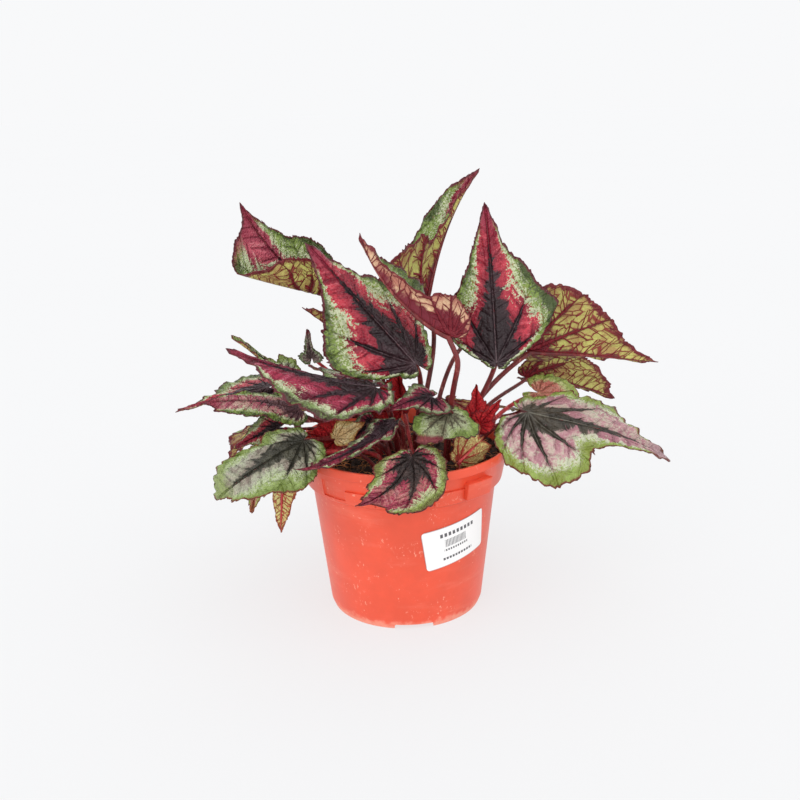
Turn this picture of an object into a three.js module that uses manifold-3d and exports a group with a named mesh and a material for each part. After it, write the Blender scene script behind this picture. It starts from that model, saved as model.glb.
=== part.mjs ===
// Potted begonia: a Rex begonia in a round plastic nursery pot, filled with soil.
// Millimetres, +Z up. The plant's front faces -Y. Everything is built about the pot's axis, and the whole
// plant then moves over, so that the origin is under the middle of its overall box, on the ground.
//
// Every leaf grew in one piece with its stalk, so it is one solid. A blade is a sheet given in polar
// form about the point where the stalk meets it: an angle from the midrib, positive to the leaf's left,
// and a share of the way out to the margin. Formulas fold, curl, roll and droop that sheet.

import * as THREE from 'three';
import { mergeVertices } from 'three/addons/utils/BufferGeometryUtils.js';
import Module from 'manifold-3d';

const wasm = await Module();
wasm.setup();

// ---------------------------------------------------------------- driving dimensions

const GAP = 0.3;                    // clearance between pieces that touch
const potAxis = { x: -16, y: -10.5 };

const pot = {
  height: 120, rimRadius: 75, lipHeight: 6.3, lipOverhang: 2,
  collarBottom: 95, collarBottomRadius: 69.5, stepHeight: 3,
  wallTopRadius: 65, footTopRadius: 55, footRadius: 53.5, footHeight: 4,
  wall: 1.6, floor: 2.2, segments: 40,
};
const notch = { count: 4, width: 27, height: 3.6, firstAzimuth: -85 };
const drain = { count: 6, radius: 4, ringRadius: 33 };
const socket = {
  padFrom: 16, padTo: 33, pocketTo: 50,
  padLow: 95.5, padHigh: 105, pocketLow: 97, pocketHigh: 109, relief: 0.8,
};
const lug = { width: 9, reach: 4, low: 99, high: 111, turn: 12 };
const label = {
  width: 50, height: 30, thickness: 0.5, corner: 3, azimuth: -56, centreHeight: 63.5, tilt: 9,
};
const soil = { edgeHeight: 109, crown: 4, lump: 1.1, rings: 5 };
const hole = { depth: 11, clearance: 0.5, sides: 6 };
const stalkOverlap = 0.75;          // how far the stalk lies under the blade, as a share of its radius
const stalkSteepness = 0.8;         // climb of the stalk where it meets the blade, against its run
const stalkLean = 0.35;             // lean of a stalk out of the soil, unless its leaf says otherwise

const bladeThickness = 0.9;
const toothDepth = 0.03;            // share of the radius that each second point of the margin stands out
const bladeSpan = 160;              // degrees from the midrib to the notch behind the stalk
const detail = {
  rolled: { sectors: 22, rings: 6, stalkRadius: 1.9, stalkSides: 6, stalkSteps: 8 },
  big: { sectors: 18, rings: 4, stalkRadius: 1.9, stalkSides: 6, stalkSteps: 8 },
  medium: { sectors: 14, rings: 3, stalkRadius: 1.6, stalkSides: 5, stalkSteps: 7 },
  small: { sectors: 10, rings: 3, stalkRadius: 1.3, stalkSides: 5, stalkSteps: 6 },
};

// The blade's outline: radius as a share of the length, at angles from the midrib.
const outlineAngles = [0, 4, 10, 20, 35, 55, 80, 105, 130, 150, 165];
const outlineRadii = [1, 0.86, 0.735, 0.645, 0.585, 0.54, 0.45, 0.38, 0.31, 0.24, 0.15];

// One entry a leaf. foot: where the stalk leaves the soil. base: where it meets the blade.
// tip: the blade's point. face: which way the upper side looks, roughly. fold and curl lift each half,
// droop and hook bend the midrib down, lobeRise bends it behind the stalk, twist turns it (degrees).
// wide, lobe and tail scale the outline's sides, its back lobes and the taper to the tip.
// bumps: angle, half width and height of swellings of the margin, against the radius there.
const leaves = [
  { name: 'leaf_tall_left', size: 'big', foot: [8, -12], base: [9, -42, 185], tip: [-60, -28, 263],
    face: [-0.2, -0.85, 0.5], foldLeft: -10, foldRight: -45, droop: 14, lobeRise: 80, lobeLeft: 0.3,
    lobeRight: 0.5, wave: 0.015, waves: 4 },
  { name: 'leaf_tall_right', size: 'big', foot: [34, -14], base: [63, -26, 180], tip: [57, -4, 284],
    face: [0.1, -0.93, 0.35], foldLeft: -23, foldRight: -9, droop: 19, lobeRise: 70, wideLeft: 0.83,
    wideRight: 1.08, lobeLeft: 0.2, lobeRight: 0.2, tailRight: 0.95, bumps: [[-35, 16, -0.12]],
    wave: 0.012, waves: 4 },
  { name: 'leaf_folded_centre', size: 'big', foot: [30, -24], base: [31, -56, 206],
    tip: [-24, -50, 271], face: [0.54, 0.52, 0.52], foldLeft: 66, foldRight: 27, droop: -46,
    twist: -75, sickle: 0.04, wideLeft: 0.6, wideRight: 0.97, lobeLeft: 0.9, lobeRight: 0.6,
    tailLeft: 0.94, tailRight: 1.04, rise: 0.9 },
  { name: 'leaf_folded_top', size: 'big', foot: [10, 2], base: [17, 22, 212], tip: [57, 35, 303],
    face: [-0.87, -0.15, 0.41], foldLeft: 32, foldRight: 62, droop: 15, hook: 14, twist: 49,
    wideLeft: 0.71, wideRight: 0.89, lobeRight: 1.27, tailLeft: 1.07, tailRight: 0.72 },
  { name: 'leaf_rolled_left', size: 'rolled', foot: [-5, 12], base: [-59, 12, 229],
    tip: [-104, 0, 287], face: [-0.15, -0.8, 0.6], foldLeft: -18, droop: 3, sickle: -0.34,
    crease: { angle: 14, bend: 152, radius: 0.07 }, wideLeft: 1.2, wideRight: 0.85, tailRight: 1.05,
    bumps: [[24, 29, 0.3]] },
  { name: 'leaf_right_upper', size: 'big', foot: [36, 2], base: [90, 18, 177], tip: [183, 20, 166],
    face: [0, 0.88, 0.52], foldLeft: 32, foldRight: 20, droop: 10, twist: 8, wideLeft: 0.7,
    wideRight: 1.08, lobeRight: 1.15, tailLeft: 0.95 },
  { name: 'leaf_right_under', size: 'medium', foot: [44, 0], base: [94, 62, 146], tip: [163, 64, 127],
    face: [0.1, 0.76, 0.58], foldLeft: 26, foldRight: 25, droop: 28, twist: -19, wideLeft: 0.47,
    wideRight: 1.02, lobeLeft: 0.7, lobeRight: 0.5, tailLeft: 0.75, tailRight: 1.16 },
  { name: 'leaf_right_broad', size: 'big', foot: [48, -13], base: [84, -28, 146],
    tip: [185, -15, 104], face: [0.33, -0.75, 0.68], foldLeft: -31, foldRight: -22, droop: 25,
    hook: 25, lobeRise: 47, sickle: 0.08, wideLeft: 0.84, wideRight: 0.91, lobeLeft: 0.56,
    lobeRight: 0.94, tailLeft: 0.8, tailRight: 0.74, bumps: [[22, 26, 0.45]], wave: 0.02, waves: 4 },
  { name: 'leaf_right_small', size: 'medium', foot: [51, -4], base: [97, 12, 148],
    tip: [138, 18, 110], face: [0.39, -0.6, 1], droop: 50, wideLeft: 1.1, lobeLeft: 0.75,
    lobeRight: 0.9 },
  { name: 'leaf_left_long', size: 'big', foot: [-3, -15], base: [-18, -45, 171],
    tip: [-111, -55, 201], face: [0.05, -0.49, 0.93], foldLeft: 8, foldRight: -32, droop: -18,
    hook: -7, sickle: 0.04, wideLeft: 1.02, wideRight: 0.89, lobeLeft: 0.66, lobeRight: 0.6,
    tailLeft: 1.04, tailRight: 0.59, wave: 0.02, waves: 5 },
  { name: 'leaf_left_outer', size: 'medium', foot: [-7, -6], base: [-91, -15, 164],
    tip: [-153, -25, 151], face: [0, -0.5, 0.85], foldLeft: -60, foldRight: -27, droop: 20,
    sickle: -0.11, wideLeft: 0.66, lobeRight: 1.1, tailLeft: 0.64, tailRight: 0.9 },
  { name: 'leaf_left_middle', size: 'medium', foot: [-10, -12], base: [-68, -35, 154],
    tip: [-130, -45, 162], face: [0, -0.5, 0.85], foldLeft: -22, foldRight: -8, droop: 26,
    sickle: 0.1, wideLeft: 0.4, wideRight: 0.57, lobeLeft: 1.17, tailLeft: 1.13,
    bumps: [[31, 29, 0.39]] },
  { name: 'leaf_left_broad', size: 'big', foot: [-8, -24], base: [-65, -52, 138],
    tip: [-122, -66, 103], face: [-0.12, -0.8, 0.3], foldLeft: 9, foldRight: -30, droop: 38, hook: 47,
    wideLeft: 0.93, wideRight: 0.68, lobeLeft: 0.7, lobeRight: 0.75, tailLeft: 1.12, tailRight: 1.4,
    bumps: [[-15, 18, 0.32]] },
  { name: 'leaf_left_hidden', size: 'small', foot: [-14, -4], base: [-85, -14, 135],
    tip: [-116, -20, 123], face: [-0.3, -0.6, 0.7], droop: 20 },
  { name: 'leaf_left_tucked', size: 'small', foot: [-15, -11], base: [-94, -30, 120],
    tip: [-106, -30, 78], face: [-0.3, -0.9, 0.1], foldLeft: 20, foldRight: 20, droop: 10,
    wideLeft: 0.7, wideRight: 0.7, rise: 0.25, lean: 0.55 },
  { name: 'leaf_left_hanging', size: 'medium', foot: [-14, -29], base: [-80, -47, 121],
    tip: [-85, -42, 68], face: [0.1, 0.95, -0.1], foldLeft: 20, foldRight: 20, droop: 10,
    wideLeft: 0.7, wideRight: 0.7, rise: 0.2 },
  { name: 'leaf_left_upright', size: 'small', foot: [-1, 2], base: [-62, 2, 180], tip: [-64, -2, 201],
    face: [-0.2, -0.95, 0.2], foldLeft: 10, foldRight: 10, droop: 10, wideLeft: 0.6, wideRight: 0.6,
    lobeLeft: 1.6, lobeRight: 1.6 },
  { name: 'leaf_left_thin', size: 'small', foot: [-9, 4], base: [-80, 14, 163], tip: [-118, 14, 195],
    face: [0.2, -0.3, 0.9], foldLeft: 30, foldRight: 30, droop: -10, wideLeft: 0.6, wideRight: 0.6,
    tailLeft: 0.6, tailRight: 0.6 },
  { name: 'leaf_front_rim', size: 'medium', foot: [5, -39], base: [4, -76, 133], tip: [-31, -96, 109],
    face: [0.1, -0.87, 0.22], foldLeft: 30, foldRight: -14, droop: 45, sickle: -0.4, wideLeft: 1.45,
    wideRight: 0.95, lobeLeft: 0.85, lobeRight: 0.47, tailRight: 1.09 },
  { name: 'leaf_centre_curled', size: 'small', foot: [14, -28], base: [19, -44, 163],
    tip: [-10, -58, 158], face: [0.13, -0.5, 0.85], foldLeft: -13, foldRight: -8, curlLeft: 40,
    droop: 40, wideLeft: 0.9, wideRight: 0.9, lobeLeft: 1.7, lobeRight: 1.1 },
  { name: 'leaf_centre_long', size: 'medium', foot: [0, -30], base: [-6, -54, 150],
    tip: [-68, -80, 127], face: [-0.55, -0.48, 0.79], foldLeft: 18, foldRight: 5, droop: -20,
    sickle: -0.18, wideLeft: 0.6, wideRight: 0.48, lobeLeft: 0.49, lobeRight: 0.37, tailLeft: 0.92,
    tailRight: 0.78 },
  { name: 'leaf_centre_pale', size: 'small', foot: [27, -37], base: [29, -52, 154],
    tip: [23, -78, 143], face: [0.06, -0.51, 0.86], foldLeft: -23, foldRight: -7, droop: 5,
    wideLeft: 1.22, wideRight: 1.69, lobeLeft: 1.55, lobeRight: 0.83, tailRight: 1.5 },
  { name: 'leaf_rim_upright', size: 'small', foot: [36, -44], base: [36, -50, 121],
    tip: [54, -40, 134], face: [0, 0.9, 0.4], foldLeft: 10, foldRight: 10, droop: 0, wideLeft: 1.4,
    wideRight: 1.4, lobeLeft: 0.4, lobeRight: 0.4 },
  { name: 'leaf_behind_left', size: 'medium', foot: [2, -5], base: [-13, -4, 170],
    tip: [-65, -12, 219], face: [0, 0.6, 0.8], foldLeft: 30, foldRight: 30, droop: 10, wideLeft: 0.7,
    wideRight: 0.7, lobeLeft: 0.6, lobeRight: 0.6 },
  { name: 'young_leaf_right', finish: 'young', size: 'small', foot: [38, -22], base: [49, -26, 137],
    tip: [50, -22, 165], face: [0.2, -0.9, 0.2], foldLeft: 25, foldRight: 25, droop: 5 },
  { name: 'young_leaf_outer', finish: 'young', size: 'small', foot: [49, -23], base: [51, -36, 141],
    tip: [65, -40, 159], face: [0.1, -0.8, 0.3], foldLeft: 20, foldRight: 20, droop: 5, wideLeft: 0.8,
    wideRight: 0.8 },
  { name: 'young_leaf_left', finish: 'young', size: 'small', foot: [7, -22], base: [0, -12, 146],
    tip: [-3, -10, 176], face: [-0.1, -0.9, 0.1], foldLeft: 30, foldRight: 30, droop: 5,
    wideLeft: 1.3, wideRight: 0.7, lobeLeft: 1.5, lobeRight: 0.7 },
  { name: 'young_leaf_low', finish: 'young', size: 'small', foot: [-16, -17], base: [-46, -32, 131],
    tip: [-65, -37, 138], face: [-0.1, -0.8, 0.5], foldLeft: 20, foldRight: 20, droop: 10,
    wideLeft: 1.3, wideRight: 1.3 },
  { name: 'dry_leaf', finish: 'dry', size: 'small', foot: [-19, -39], base: [-44, -50, 138],
    tip: [-24, -53, 150], face: [0.1, -0.8, 0.6], foldLeft: 10, foldRight: 10, droop: 10,
    lobeLeft: 0.5, lobeRight: 0.5 },
  { name: 'leaf_centre_tip', size: 'small', foot: [-7, -33], base: [-21, -36, 145],
    tip: [-38, -38, 128], face: [-0.2, -0.8, 0.5], droop: 10, wideLeft: 0.8, wideRight: 0.8 },
  { name: 'leaf_back_left', size: 'medium', foot: [-8, 23], base: [-88, 50, 124], tip: [-140, 82, 74],
    face: [-0.4, 0.3, 0.8], droop: 40 },
  { name: 'leaf_back_low_left', size: 'medium', foot: [2, 31], base: [-30, 74, 127],
    tip: [-48, 119, 60], face: [-0.1, 0.7, 0.8], droop: 40, lobeLeft: 0.7, lobeRight: 0.7 },
  { name: 'leaf_back_low_right', size: 'medium', foot: [14, 32], base: [34, 82, 124],
    tip: [58, 116, 64], face: [0.1, 0.7, 0.8], droop: 40, wideLeft: 0.8, wideRight: 0.8,
    lobeLeft: 0.4, lobeRight: 0.4 },
  { name: 'leaf_back_right', size: 'medium', foot: [30, 22], base: [88, 46, 126], tip: [152, 78, 76],
    face: [0.4, 0.4, 0.8], droop: 40 },
  { name: 'leaf_back_high_left', size: 'medium', foot: [4, 18], base: [-8, 70, 168],
    tip: [-57, 120, 173], face: [-0.2, 0.5, 0.8], droop: 20 },
  { name: 'leaf_back_high_right', size: 'medium', foot: [19, 14], base: [60, 60, 190],
    tip: [108, 106, 190], face: [0.2, 0.5, 0.8], droop: 20, rise: 0.9 },
];

const finishes = {
  pot: { color: 0xe65f47, roughness: 0.5, metalness: 0 },
  soil: { color: 0x2b1d16, roughness: 1, metalness: 0 },
  label: { color: 0xf4f2ef, roughness: 0.6, metalness: 0 },
  leaf: { color: 0x8a4150, roughness: 0.55, metalness: 0 },
  young: { color: 0xa51c2b, roughness: 0.6, metalness: 0 },
  dry: { color: 0xb28a5c, roughness: 0.85, metalness: 0 },
};

// ---------------------------------------------------------------- small helpers

const { degToRad: rad, lerp, smoothstep } = THREE.MathUtils;

function interpolate(x, xs, ys) {
  if (x <= xs[0]) return ys[0];
  for (let i = 1; i < xs.length; i++) {
    if (x <= xs[i]) return lerp(ys[i - 1], ys[i], (x - xs[i - 1]) / (xs[i] - xs[i - 1]));
  }
  return ys[ys.length - 1];
}

function solidFrom(geometry) {
  const bare = geometry.clone();
  bare.deleteAttribute('normal');
  bare.deleteAttribute('uv');
  const merged = mergeVertices(bare, 1e-4);
  const vertProperties = new Float32Array(merged.attributes.position.array);
  const triVerts = new Uint32Array(merged.index.array);
  return new wasm.Manifold(new wasm.Mesh({ numProp: 3, vertProperties, triVerts }));
}

function geometryFrom(solid) {
  const mesh = solid.getMesh();
  const geometry = new THREE.BufferGeometry();
  geometry.setAttribute('position', new THREE.BufferAttribute(mesh.vertProperties, 3));
  geometry.setIndex(new THREE.BufferAttribute(mesh.triVerts, 1));
  geometry.computeVertexNormals();
  return geometry;
}

function named(name, geometry, finish) {
  const mesh = new THREE.Mesh(geometry, new THREE.MeshStandardMaterial(finish));
  mesh.name = name;
  return mesh;
}

// A profile of [radius, height] points turned about the Z axis.
function turned(profile, segments) {
  const geometry = new THREE.LatheGeometry(profile.map(([r, z]) => new THREE.Vector2(r, z)), segments);
  return geometry.rotateX(Math.PI / 2);
}

// ---------------------------------------------------------------- pot, soil and label

const lipBottom = pot.height - pot.lipHeight;
const collarTopRadius = pot.rimRadius - pot.lipOverhang;
const wallTop = pot.collarBottom - pot.stepHeight;

function wallRadius(z) {
  const share = (z - pot.footHeight) / (wallTop - pot.footHeight);
  return lerp(pot.footTopRadius, pot.wallTopRadius, share);
}

function collarRadius(z) {
  const share = (z - pot.collarBottom) / (lipBottom - pot.collarBottom);
  return lerp(pot.collarBottomRadius, collarTopRadius, share);
}

// A block that follows the collar's taper, between two depths from its face, azimuths and heights.
function collarBlock(inner, outer, [from, to], [low, high]) {
  const geometry = new THREE.BoxGeometry(1, 1, 1, 1, 5, 1);
  const spot = geometry.attributes.position;
  for (let i = 0; i < spot.count; i++) {
    const z = lerp(low, high, spot.getZ(i) + 0.5);
    const azimuth = rad(lerp(from, to, spot.getY(i) + 0.5));
    const radius = collarRadius(z) + lerp(inner, outer, spot.getX(i) + 0.5);
    spot.setXYZ(i, radius * Math.cos(azimuth), radius * Math.sin(azimuth), z);
  }
  return geometry;
}

function potSolid() {
  const floorTop = pot.footHeight + pot.floor;
  const outside = [
    [0, pot.footHeight], [pot.footRadius - 3.5, pot.footHeight],
    [pot.footRadius - 3, 0], [pot.footRadius, 0],
    [pot.footTopRadius, pot.footHeight], [pot.wallTopRadius, wallTop],
    [pot.collarBottomRadius, pot.collarBottom], [collarTopRadius, lipBottom],
    [pot.rimRadius, lipBottom], [pot.rimRadius, pot.height - 1], [pot.rimRadius - 0.8, pot.height],
  ];
  const inside = [
    [pot.rimRadius - 2, pot.height], [collarTopRadius - pot.wall, lipBottom],
    [pot.collarBottomRadius - pot.wall, pot.collarBottom], [pot.wallTopRadius - pot.wall, wallTop],
    [wallRadius(floorTop) - pot.wall, floorTop], [0, floorTop],
  ];
  let body = solidFrom(turned([...outside, ...inside], pot.segments));

  for (let i = 0; i < notch.count; i++) {
    const box = new THREE.BoxGeometry(16, notch.width, notch.height * 2);
    box.translate(pot.footRadius, 0, 0);
    box.rotateZ(rad(notch.firstAzimuth + i * 360 / notch.count));
    body = body.subtract(solidFrom(box));
  }
  for (let i = 0; i < drain.count; i++) {
    const bore = new THREE.CylinderGeometry(drain.radius, drain.radius, pot.floor * 4, 10);
    bore.rotateX(Math.PI / 2).translate(drain.ringRadius, 0, pot.footHeight + pot.floor / 2);
    bore.rotateZ(rad((i + 0.5) * 360 / drain.count));
    body = body.subtract(solidFrom(bore));
  }
  // Moulded sockets on the collar: a raised pad with a sunk pocket beside it, mirrored left and right.
  for (const face of [-90, 90]) {
    for (const side of [-1, 1]) {
      const at = (degrees) => face + side * degrees;
      const span = (a, b) => [Math.min(at(a), at(b)), Math.max(at(a), at(b))];
      const pad = collarBlock(-pot.wall / 2, socket.relief, span(socket.padFrom, socket.padTo),
        [socket.padLow, socket.padHigh]);
      body = body.add(solidFrom(pad));
      const pocket = collarBlock(-socket.relief, pot.wall * 3, span(socket.padTo, socket.pocketTo),
        [socket.pocketLow, socket.pocketHigh]);
      body = body.subtract(solidFrom(pocket));
    }
  }
  const earSpan = THREE.MathUtils.radToDeg(lug.width / collarTopRadius) / 2;
  for (const side of [0, 180]) {
    const azimuth = side + lug.turn;
    const span = [azimuth - earSpan, azimuth + earSpan];
    const ear = collarBlock(-pot.wall / 2, lug.reach, span, [lug.low, lug.high]);
    body = body.add(solidFrom(ear));
  }
  return body;
}

function soilTop(x, y) {
  const r = Math.hypot(x, y) / (collarTopRadius - pot.wall);
  const lumps = Math.sin(x * 0.19 + 1) * Math.cos(y * 0.16) + 0.6 * Math.sin(x * 0.37 - y * 0.31);
  return soil.edgeHeight + soil.crown * (1 - r * r) + soil.lump * lumps * (1 - r ** 4);
}

function soilSolid() {
  const floorTop = pot.footHeight + pot.floor + GAP;
  const inset = pot.wall + GAP * 1.4;
  const edge = collarRadius(soil.edgeHeight) - inset;
  const profile = [
    [0, floorTop], [wallRadius(floorTop) - inset, floorTop], [pot.wallTopRadius - inset, wallTop + GAP],
    [pot.collarBottomRadius - inset, pot.collarBottom + GAP], [edge, soil.edgeHeight],
  ];
  for (let i = soil.rings - 1; i > 0; i--) {
    profile.push([edge * i / soil.rings, soil.edgeHeight]);
  }
  profile.push([0, soil.edgeHeight]);
  const geometry = turned(profile, pot.segments);
  const spot = geometry.attributes.position;
  for (let i = 0; i < spot.count; i++) {
    const [x, y, z] = [spot.getX(i), spot.getY(i), spot.getZ(i)];
    const isTop = z > soil.edgeHeight - 0.01 && Math.hypot(x, y) < edge - 0.01;
    if (isTop) spot.setZ(i, soilTop(x, y));
  }
  let body = solidFrom(geometry);
  for (const leaf of leaves) {
    const radius = (detail[leaf.size].stalkRadius + hole.clearance) / Math.cos(Math.PI / hole.sides);
    const bore = new THREE.CylinderGeometry(radius, radius, hole.depth * 2, hole.sides);
    const lean = new THREE.Quaternion().setFromUnitVectors(new THREE.Vector3(0, 1, 0), leanOf(leaf));
    bore.applyQuaternion(lean);
    bore.translate(leaf.foot[0], leaf.foot[1], soilTop(...leaf.foot));
    body = body.subtract(solidFrom(bore));
  }
  return body;
}

// The way a stalk leaves the soil: up, and a little towards its blade.
function leanOf(leaf) {
  const out = new THREE.Vector3(leaf.base[0] - leaf.foot[0], leaf.base[1] - leaf.foot[1], 0).normalize();
  return new THREE.Vector3(0, 0, 1).addScaledVector(out, leaf.lean ?? stalkLean).normalize();
}

// A sticker with rounded corners, wrapped on the wall and a little tilted.
function labelSolid() {
  const [w, h, c] = [label.width / 2, label.height / 2, label.corner];
  const heights = [-h, -h + 0.3 * c, -h + c, 0, h - c, h - 0.3 * c, h];
  const geometry = new THREE.BoxGeometry(2, heights.length - 1, 1, 12, heights.length - 1, 1);
  const spot = geometry.attributes.position;
  const [cosTilt, sinTilt] = [Math.cos(rad(label.tilt)), Math.sin(rad(label.tilt))];
  for (let i = 0; i < spot.count; i++) {
    const v = heights[Math.round(spot.getY(i) + (heights.length - 1) / 2)];
    const end = Math.max(0, c - (h - Math.abs(v)));
    const u = spot.getX(i) * (w - c + Math.sqrt(c * c - end * end));
    const z = label.centreHeight + v * cosTilt + u * sinTilt;
    const radius = wallRadius(z) + 1.3 * GAP + (spot.getZ(i) + 0.5) * label.thickness;
    const azimuth = rad(label.azimuth) + (u * cosTilt - v * sinTilt) / wallRadius(label.centreHeight);
    spot.setXYZ(i, radius * Math.cos(azimuth), radius * Math.sin(azimuth), z);
  }
  return solidFrom(geometry);
}

// ---------------------------------------------------------------- leaves

function outlineRadius(leaf, degrees) {
  const away = Math.abs(degrees);
  const isLeft = degrees > 0;
  const wide = (isLeft ? leaf.wideLeft : leaf.wideRight) ?? 1;
  const lobe = (isLeft ? leaf.lobeLeft : leaf.lobeRight) ?? 1;
  const tail = (isLeft ? leaf.tailLeft : leaf.tailRight) ?? 1;
  let radius = interpolate(away, outlineAngles, outlineRadii)
    * (1 + (wide - 1) * smoothstep(away, 0, 28))
    * (1 + (lobe - 1) * smoothstep(away, 42, 90))
    * (1 + (tail - 1) * smoothstep(away, 1, 8) * (1 - smoothstep(away, 16, 34)));
  for (const [middle, halfWidth, height] of leaf.bumps ?? []) {
    radius *= 1 + height * Math.max(1 - ((degrees - middle) / halfWidth) ** 2, 0) ** 1.5;
  }
  return radius;
}

// The midrib's run from the stalk, as points and slopes at even steps of length.
const ribFrom = -0.6;
const ribTo = 1.05;
const ribSteps = 66;

function ribTable(leaf) {
  const droop = rad(leaf.droop ?? 20);
  const hook = rad(leaf.hook ?? 0);
  const rise = rad(leaf.lobeRise ?? (leaf.droop ?? 20) * 0.4);
  const slope = (s) => (s > 0 ? -(droop * s + hook * s * s) : -rise * s);
  const step = (ribTo - ribFrom) / ribSteps;
  const table = { s: [], x: [], z: [], slope: [] };
  let [x, z] = [0, 0];
  for (let i = 0; i <= ribSteps; i++) {
    const s = ribFrom + i * step;
    if (i > 0) {
      const [before, now] = [slope(s - step), slope(s)];
      x += (Math.cos(before) + Math.cos(now)) / 2 * step;
      z += (Math.sin(before) + Math.sin(now)) / 2 * step;
    }
    table.s.push(s);
    table.x.push(x);
    table.z.push(z);
    table.slope.push(slope(s));
  }
  const [x0, z0] = [interpolate(0, table.s, table.x), interpolate(0, table.s, table.z)];
  table.x = table.x.map((value) => value - x0);
  table.z = table.z.map((value) => value - z0);
  return table;
}

// A point of the blade's middle sheet in its own frame, with the blade's length as the unit:
// x along the midrib, y to the left, z to the upper side.
function sheetPoint(leaf, rib, degrees, share, tooth = 0) {
  const angle = rad(degrees);
  const r = outlineRadius(leaf, degrees) * share * (1 + tooth);
  let [x, y] = [r * Math.cos(angle), r * Math.sin(angle)];
  y += (leaf.sickle ?? 0) * Math.max(x, 0) ** 2;
  let lift = 0;
  if (leaf.crease) {
    const along = rad(leaf.crease.angle);
    const bend = rad(leaf.crease.bend);
    const radius = leaf.crease.radius;
    const [nx, ny] = [-Math.sin(along), Math.cos(along)];
    const past = x * nx + y * ny;
    if (past > 0) {
      const turn = Math.min(past / radius, bend);
      const rest = Math.max(past - radius * bend, 0);
      const reach = radius * Math.sin(turn) + rest * Math.cos(bend);
      lift = radius * (1 - Math.cos(turn)) + rest * Math.sin(bend);
      x += (reach - past) * nx;
      y += (reach - past) * ny;
    }
  }
  const isLeft = y > 0;
  const side = isLeft ? 1 : -1;
  const out = Math.abs(y);
  const fold = rad((isLeft ? leaf.foldLeft : leaf.foldRight) ?? 0) * smoothstep(out, 0, 0.05);
  const curl = rad((isLeft ? leaf.curlLeft : leaf.curlRight) ?? 0) * 2 || 1e-4;
  let across = (Math.sin(fold + curl * out) - Math.sin(fold)) / curl;
  let up = (Math.cos(fold) - Math.cos(fold + curl * out)) / curl;
  across = side * (across - lift * Math.sin(fold));
  up += lift * Math.cos(fold);
  up += (leaf.wave ?? 0) * share ** 2.5 * Math.sin(2 * (leaf.waves ?? 4) * angle);
  const turn = rad(leaf.twist ?? 0) * x;
  [across, up] = [
    across * Math.cos(turn) - up * Math.sin(turn),
    across * Math.sin(turn) + up * Math.cos(turn),
  ];
  const slope = interpolate(x, rib.s, rib.slope);
  return new THREE.Vector3(
    interpolate(x, rib.s, rib.x) - Math.sin(slope) * up,
    across,
    interpolate(x, rib.s, rib.z) + Math.cos(slope) * up,
  );
}

function basis(forward, upward) {
  const x = forward.clone().normalize();
  const z = upward.clone().addScaledVector(x, -upward.dot(x)).normalize();
  return new THREE.Matrix4().makeBasis(x, new THREE.Vector3().crossVectors(z, x), z);
}

// The matrix that takes a blade from its own frame to its place, with its tip on the tip point.
function placeOf(leaf, rib) {
  const tip = sheetPoint(leaf, rib, 0, 1);
  const [from, to] = [new THREE.Vector3(...leaf.base), new THREE.Vector3(...leaf.tip)];
  const chord = to.clone().sub(from);
  const length = chord.length() / tip.length();
  const own = basis(tip, new THREE.Vector3(0, 0, 1)).transpose();
  const place = basis(chord, new THREE.Vector3(...leaf.face)).multiply(own);
  place.scale(new THREE.Vector3(length, length, length));
  return place.setPosition(from);
}

// Angles lie closer together near the midrib, where the tip is.
const angleAt = (share) => bladeSpan * Math.sign(share) * Math.abs(share) ** 1.35;

function bladeSolid(leaf, rib, place) {
  const { sectors, rings } = detail[leaf.size];
  const point = (degrees, share, tooth) => (
    sheetPoint(leaf, rib, degrees, share, tooth).applyMatrix4(place)
  );
  const points = [point(0, 0)];
  for (let i = 0; i <= sectors; i++) {
    const isTip = i * 2 === sectors;
    const tooth = isTip ? 0 : (i % 2 ? 1 : -1) * toothDepth;
    for (let j = 1; j <= rings; j++) {
      points.push(point(angleAt(2 * i / sectors - 1), j / rings, j === rings ? tooth : 0));
    }
  }
  const at = (i, j) => (j === 0 ? 0 : i * rings + j);
  const faces = [];
  for (let i = 0; i < sectors; i++) {
    for (let j = 0; j < rings; j++) {
      faces.push([at(i, j), at(i, j + 1), at(i + 1, j + 1)]);
      if (j > 0) faces.push([at(i, j), at(i + 1, j + 1), at(i + 1, j)]);
    }
  }
  const sheet = new THREE.BufferGeometry().setFromPoints(points);
  sheet.setIndex(faces.flat());
  sheet.computeVertexNormals();
  const normal = sheet.attributes.normal;
  const half = bladeThickness / 2;
  const shifted = (by) => points.map((p, i) => p.clone().addScaledVector(
    new THREE.Vector3(normal.getX(i), normal.getY(i), normal.getZ(i)), by));
  const count = points.length;
  const edge = [0];
  for (let j = 1; j <= rings; j++) edge.push(at(0, j));
  for (let i = 1; i <= sectors; i++) edge.push(at(i, rings));
  for (let j = rings - 1; j >= 0; j--) edge.push(at(sectors, j));
  // Both faces are split into triangles alike, so that a thin waved blade never crosses itself.
  const triangles = [...faces, ...faces.map(([a, b, c]) => [a + count, c + count, b + count])];
  for (let i = 1; i < edge.length; i++) {
    const [a, b] = [edge[i - 1], edge[i]];
    triangles.push([b, a, a + count], [b, a + count, b + count]);
  }
  const geometry = new THREE.BufferGeometry().setFromPoints([...shifted(half), ...shifted(-half)]);
  geometry.setIndex(triangles.flat());
  return solidFrom(geometry);
}

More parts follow.
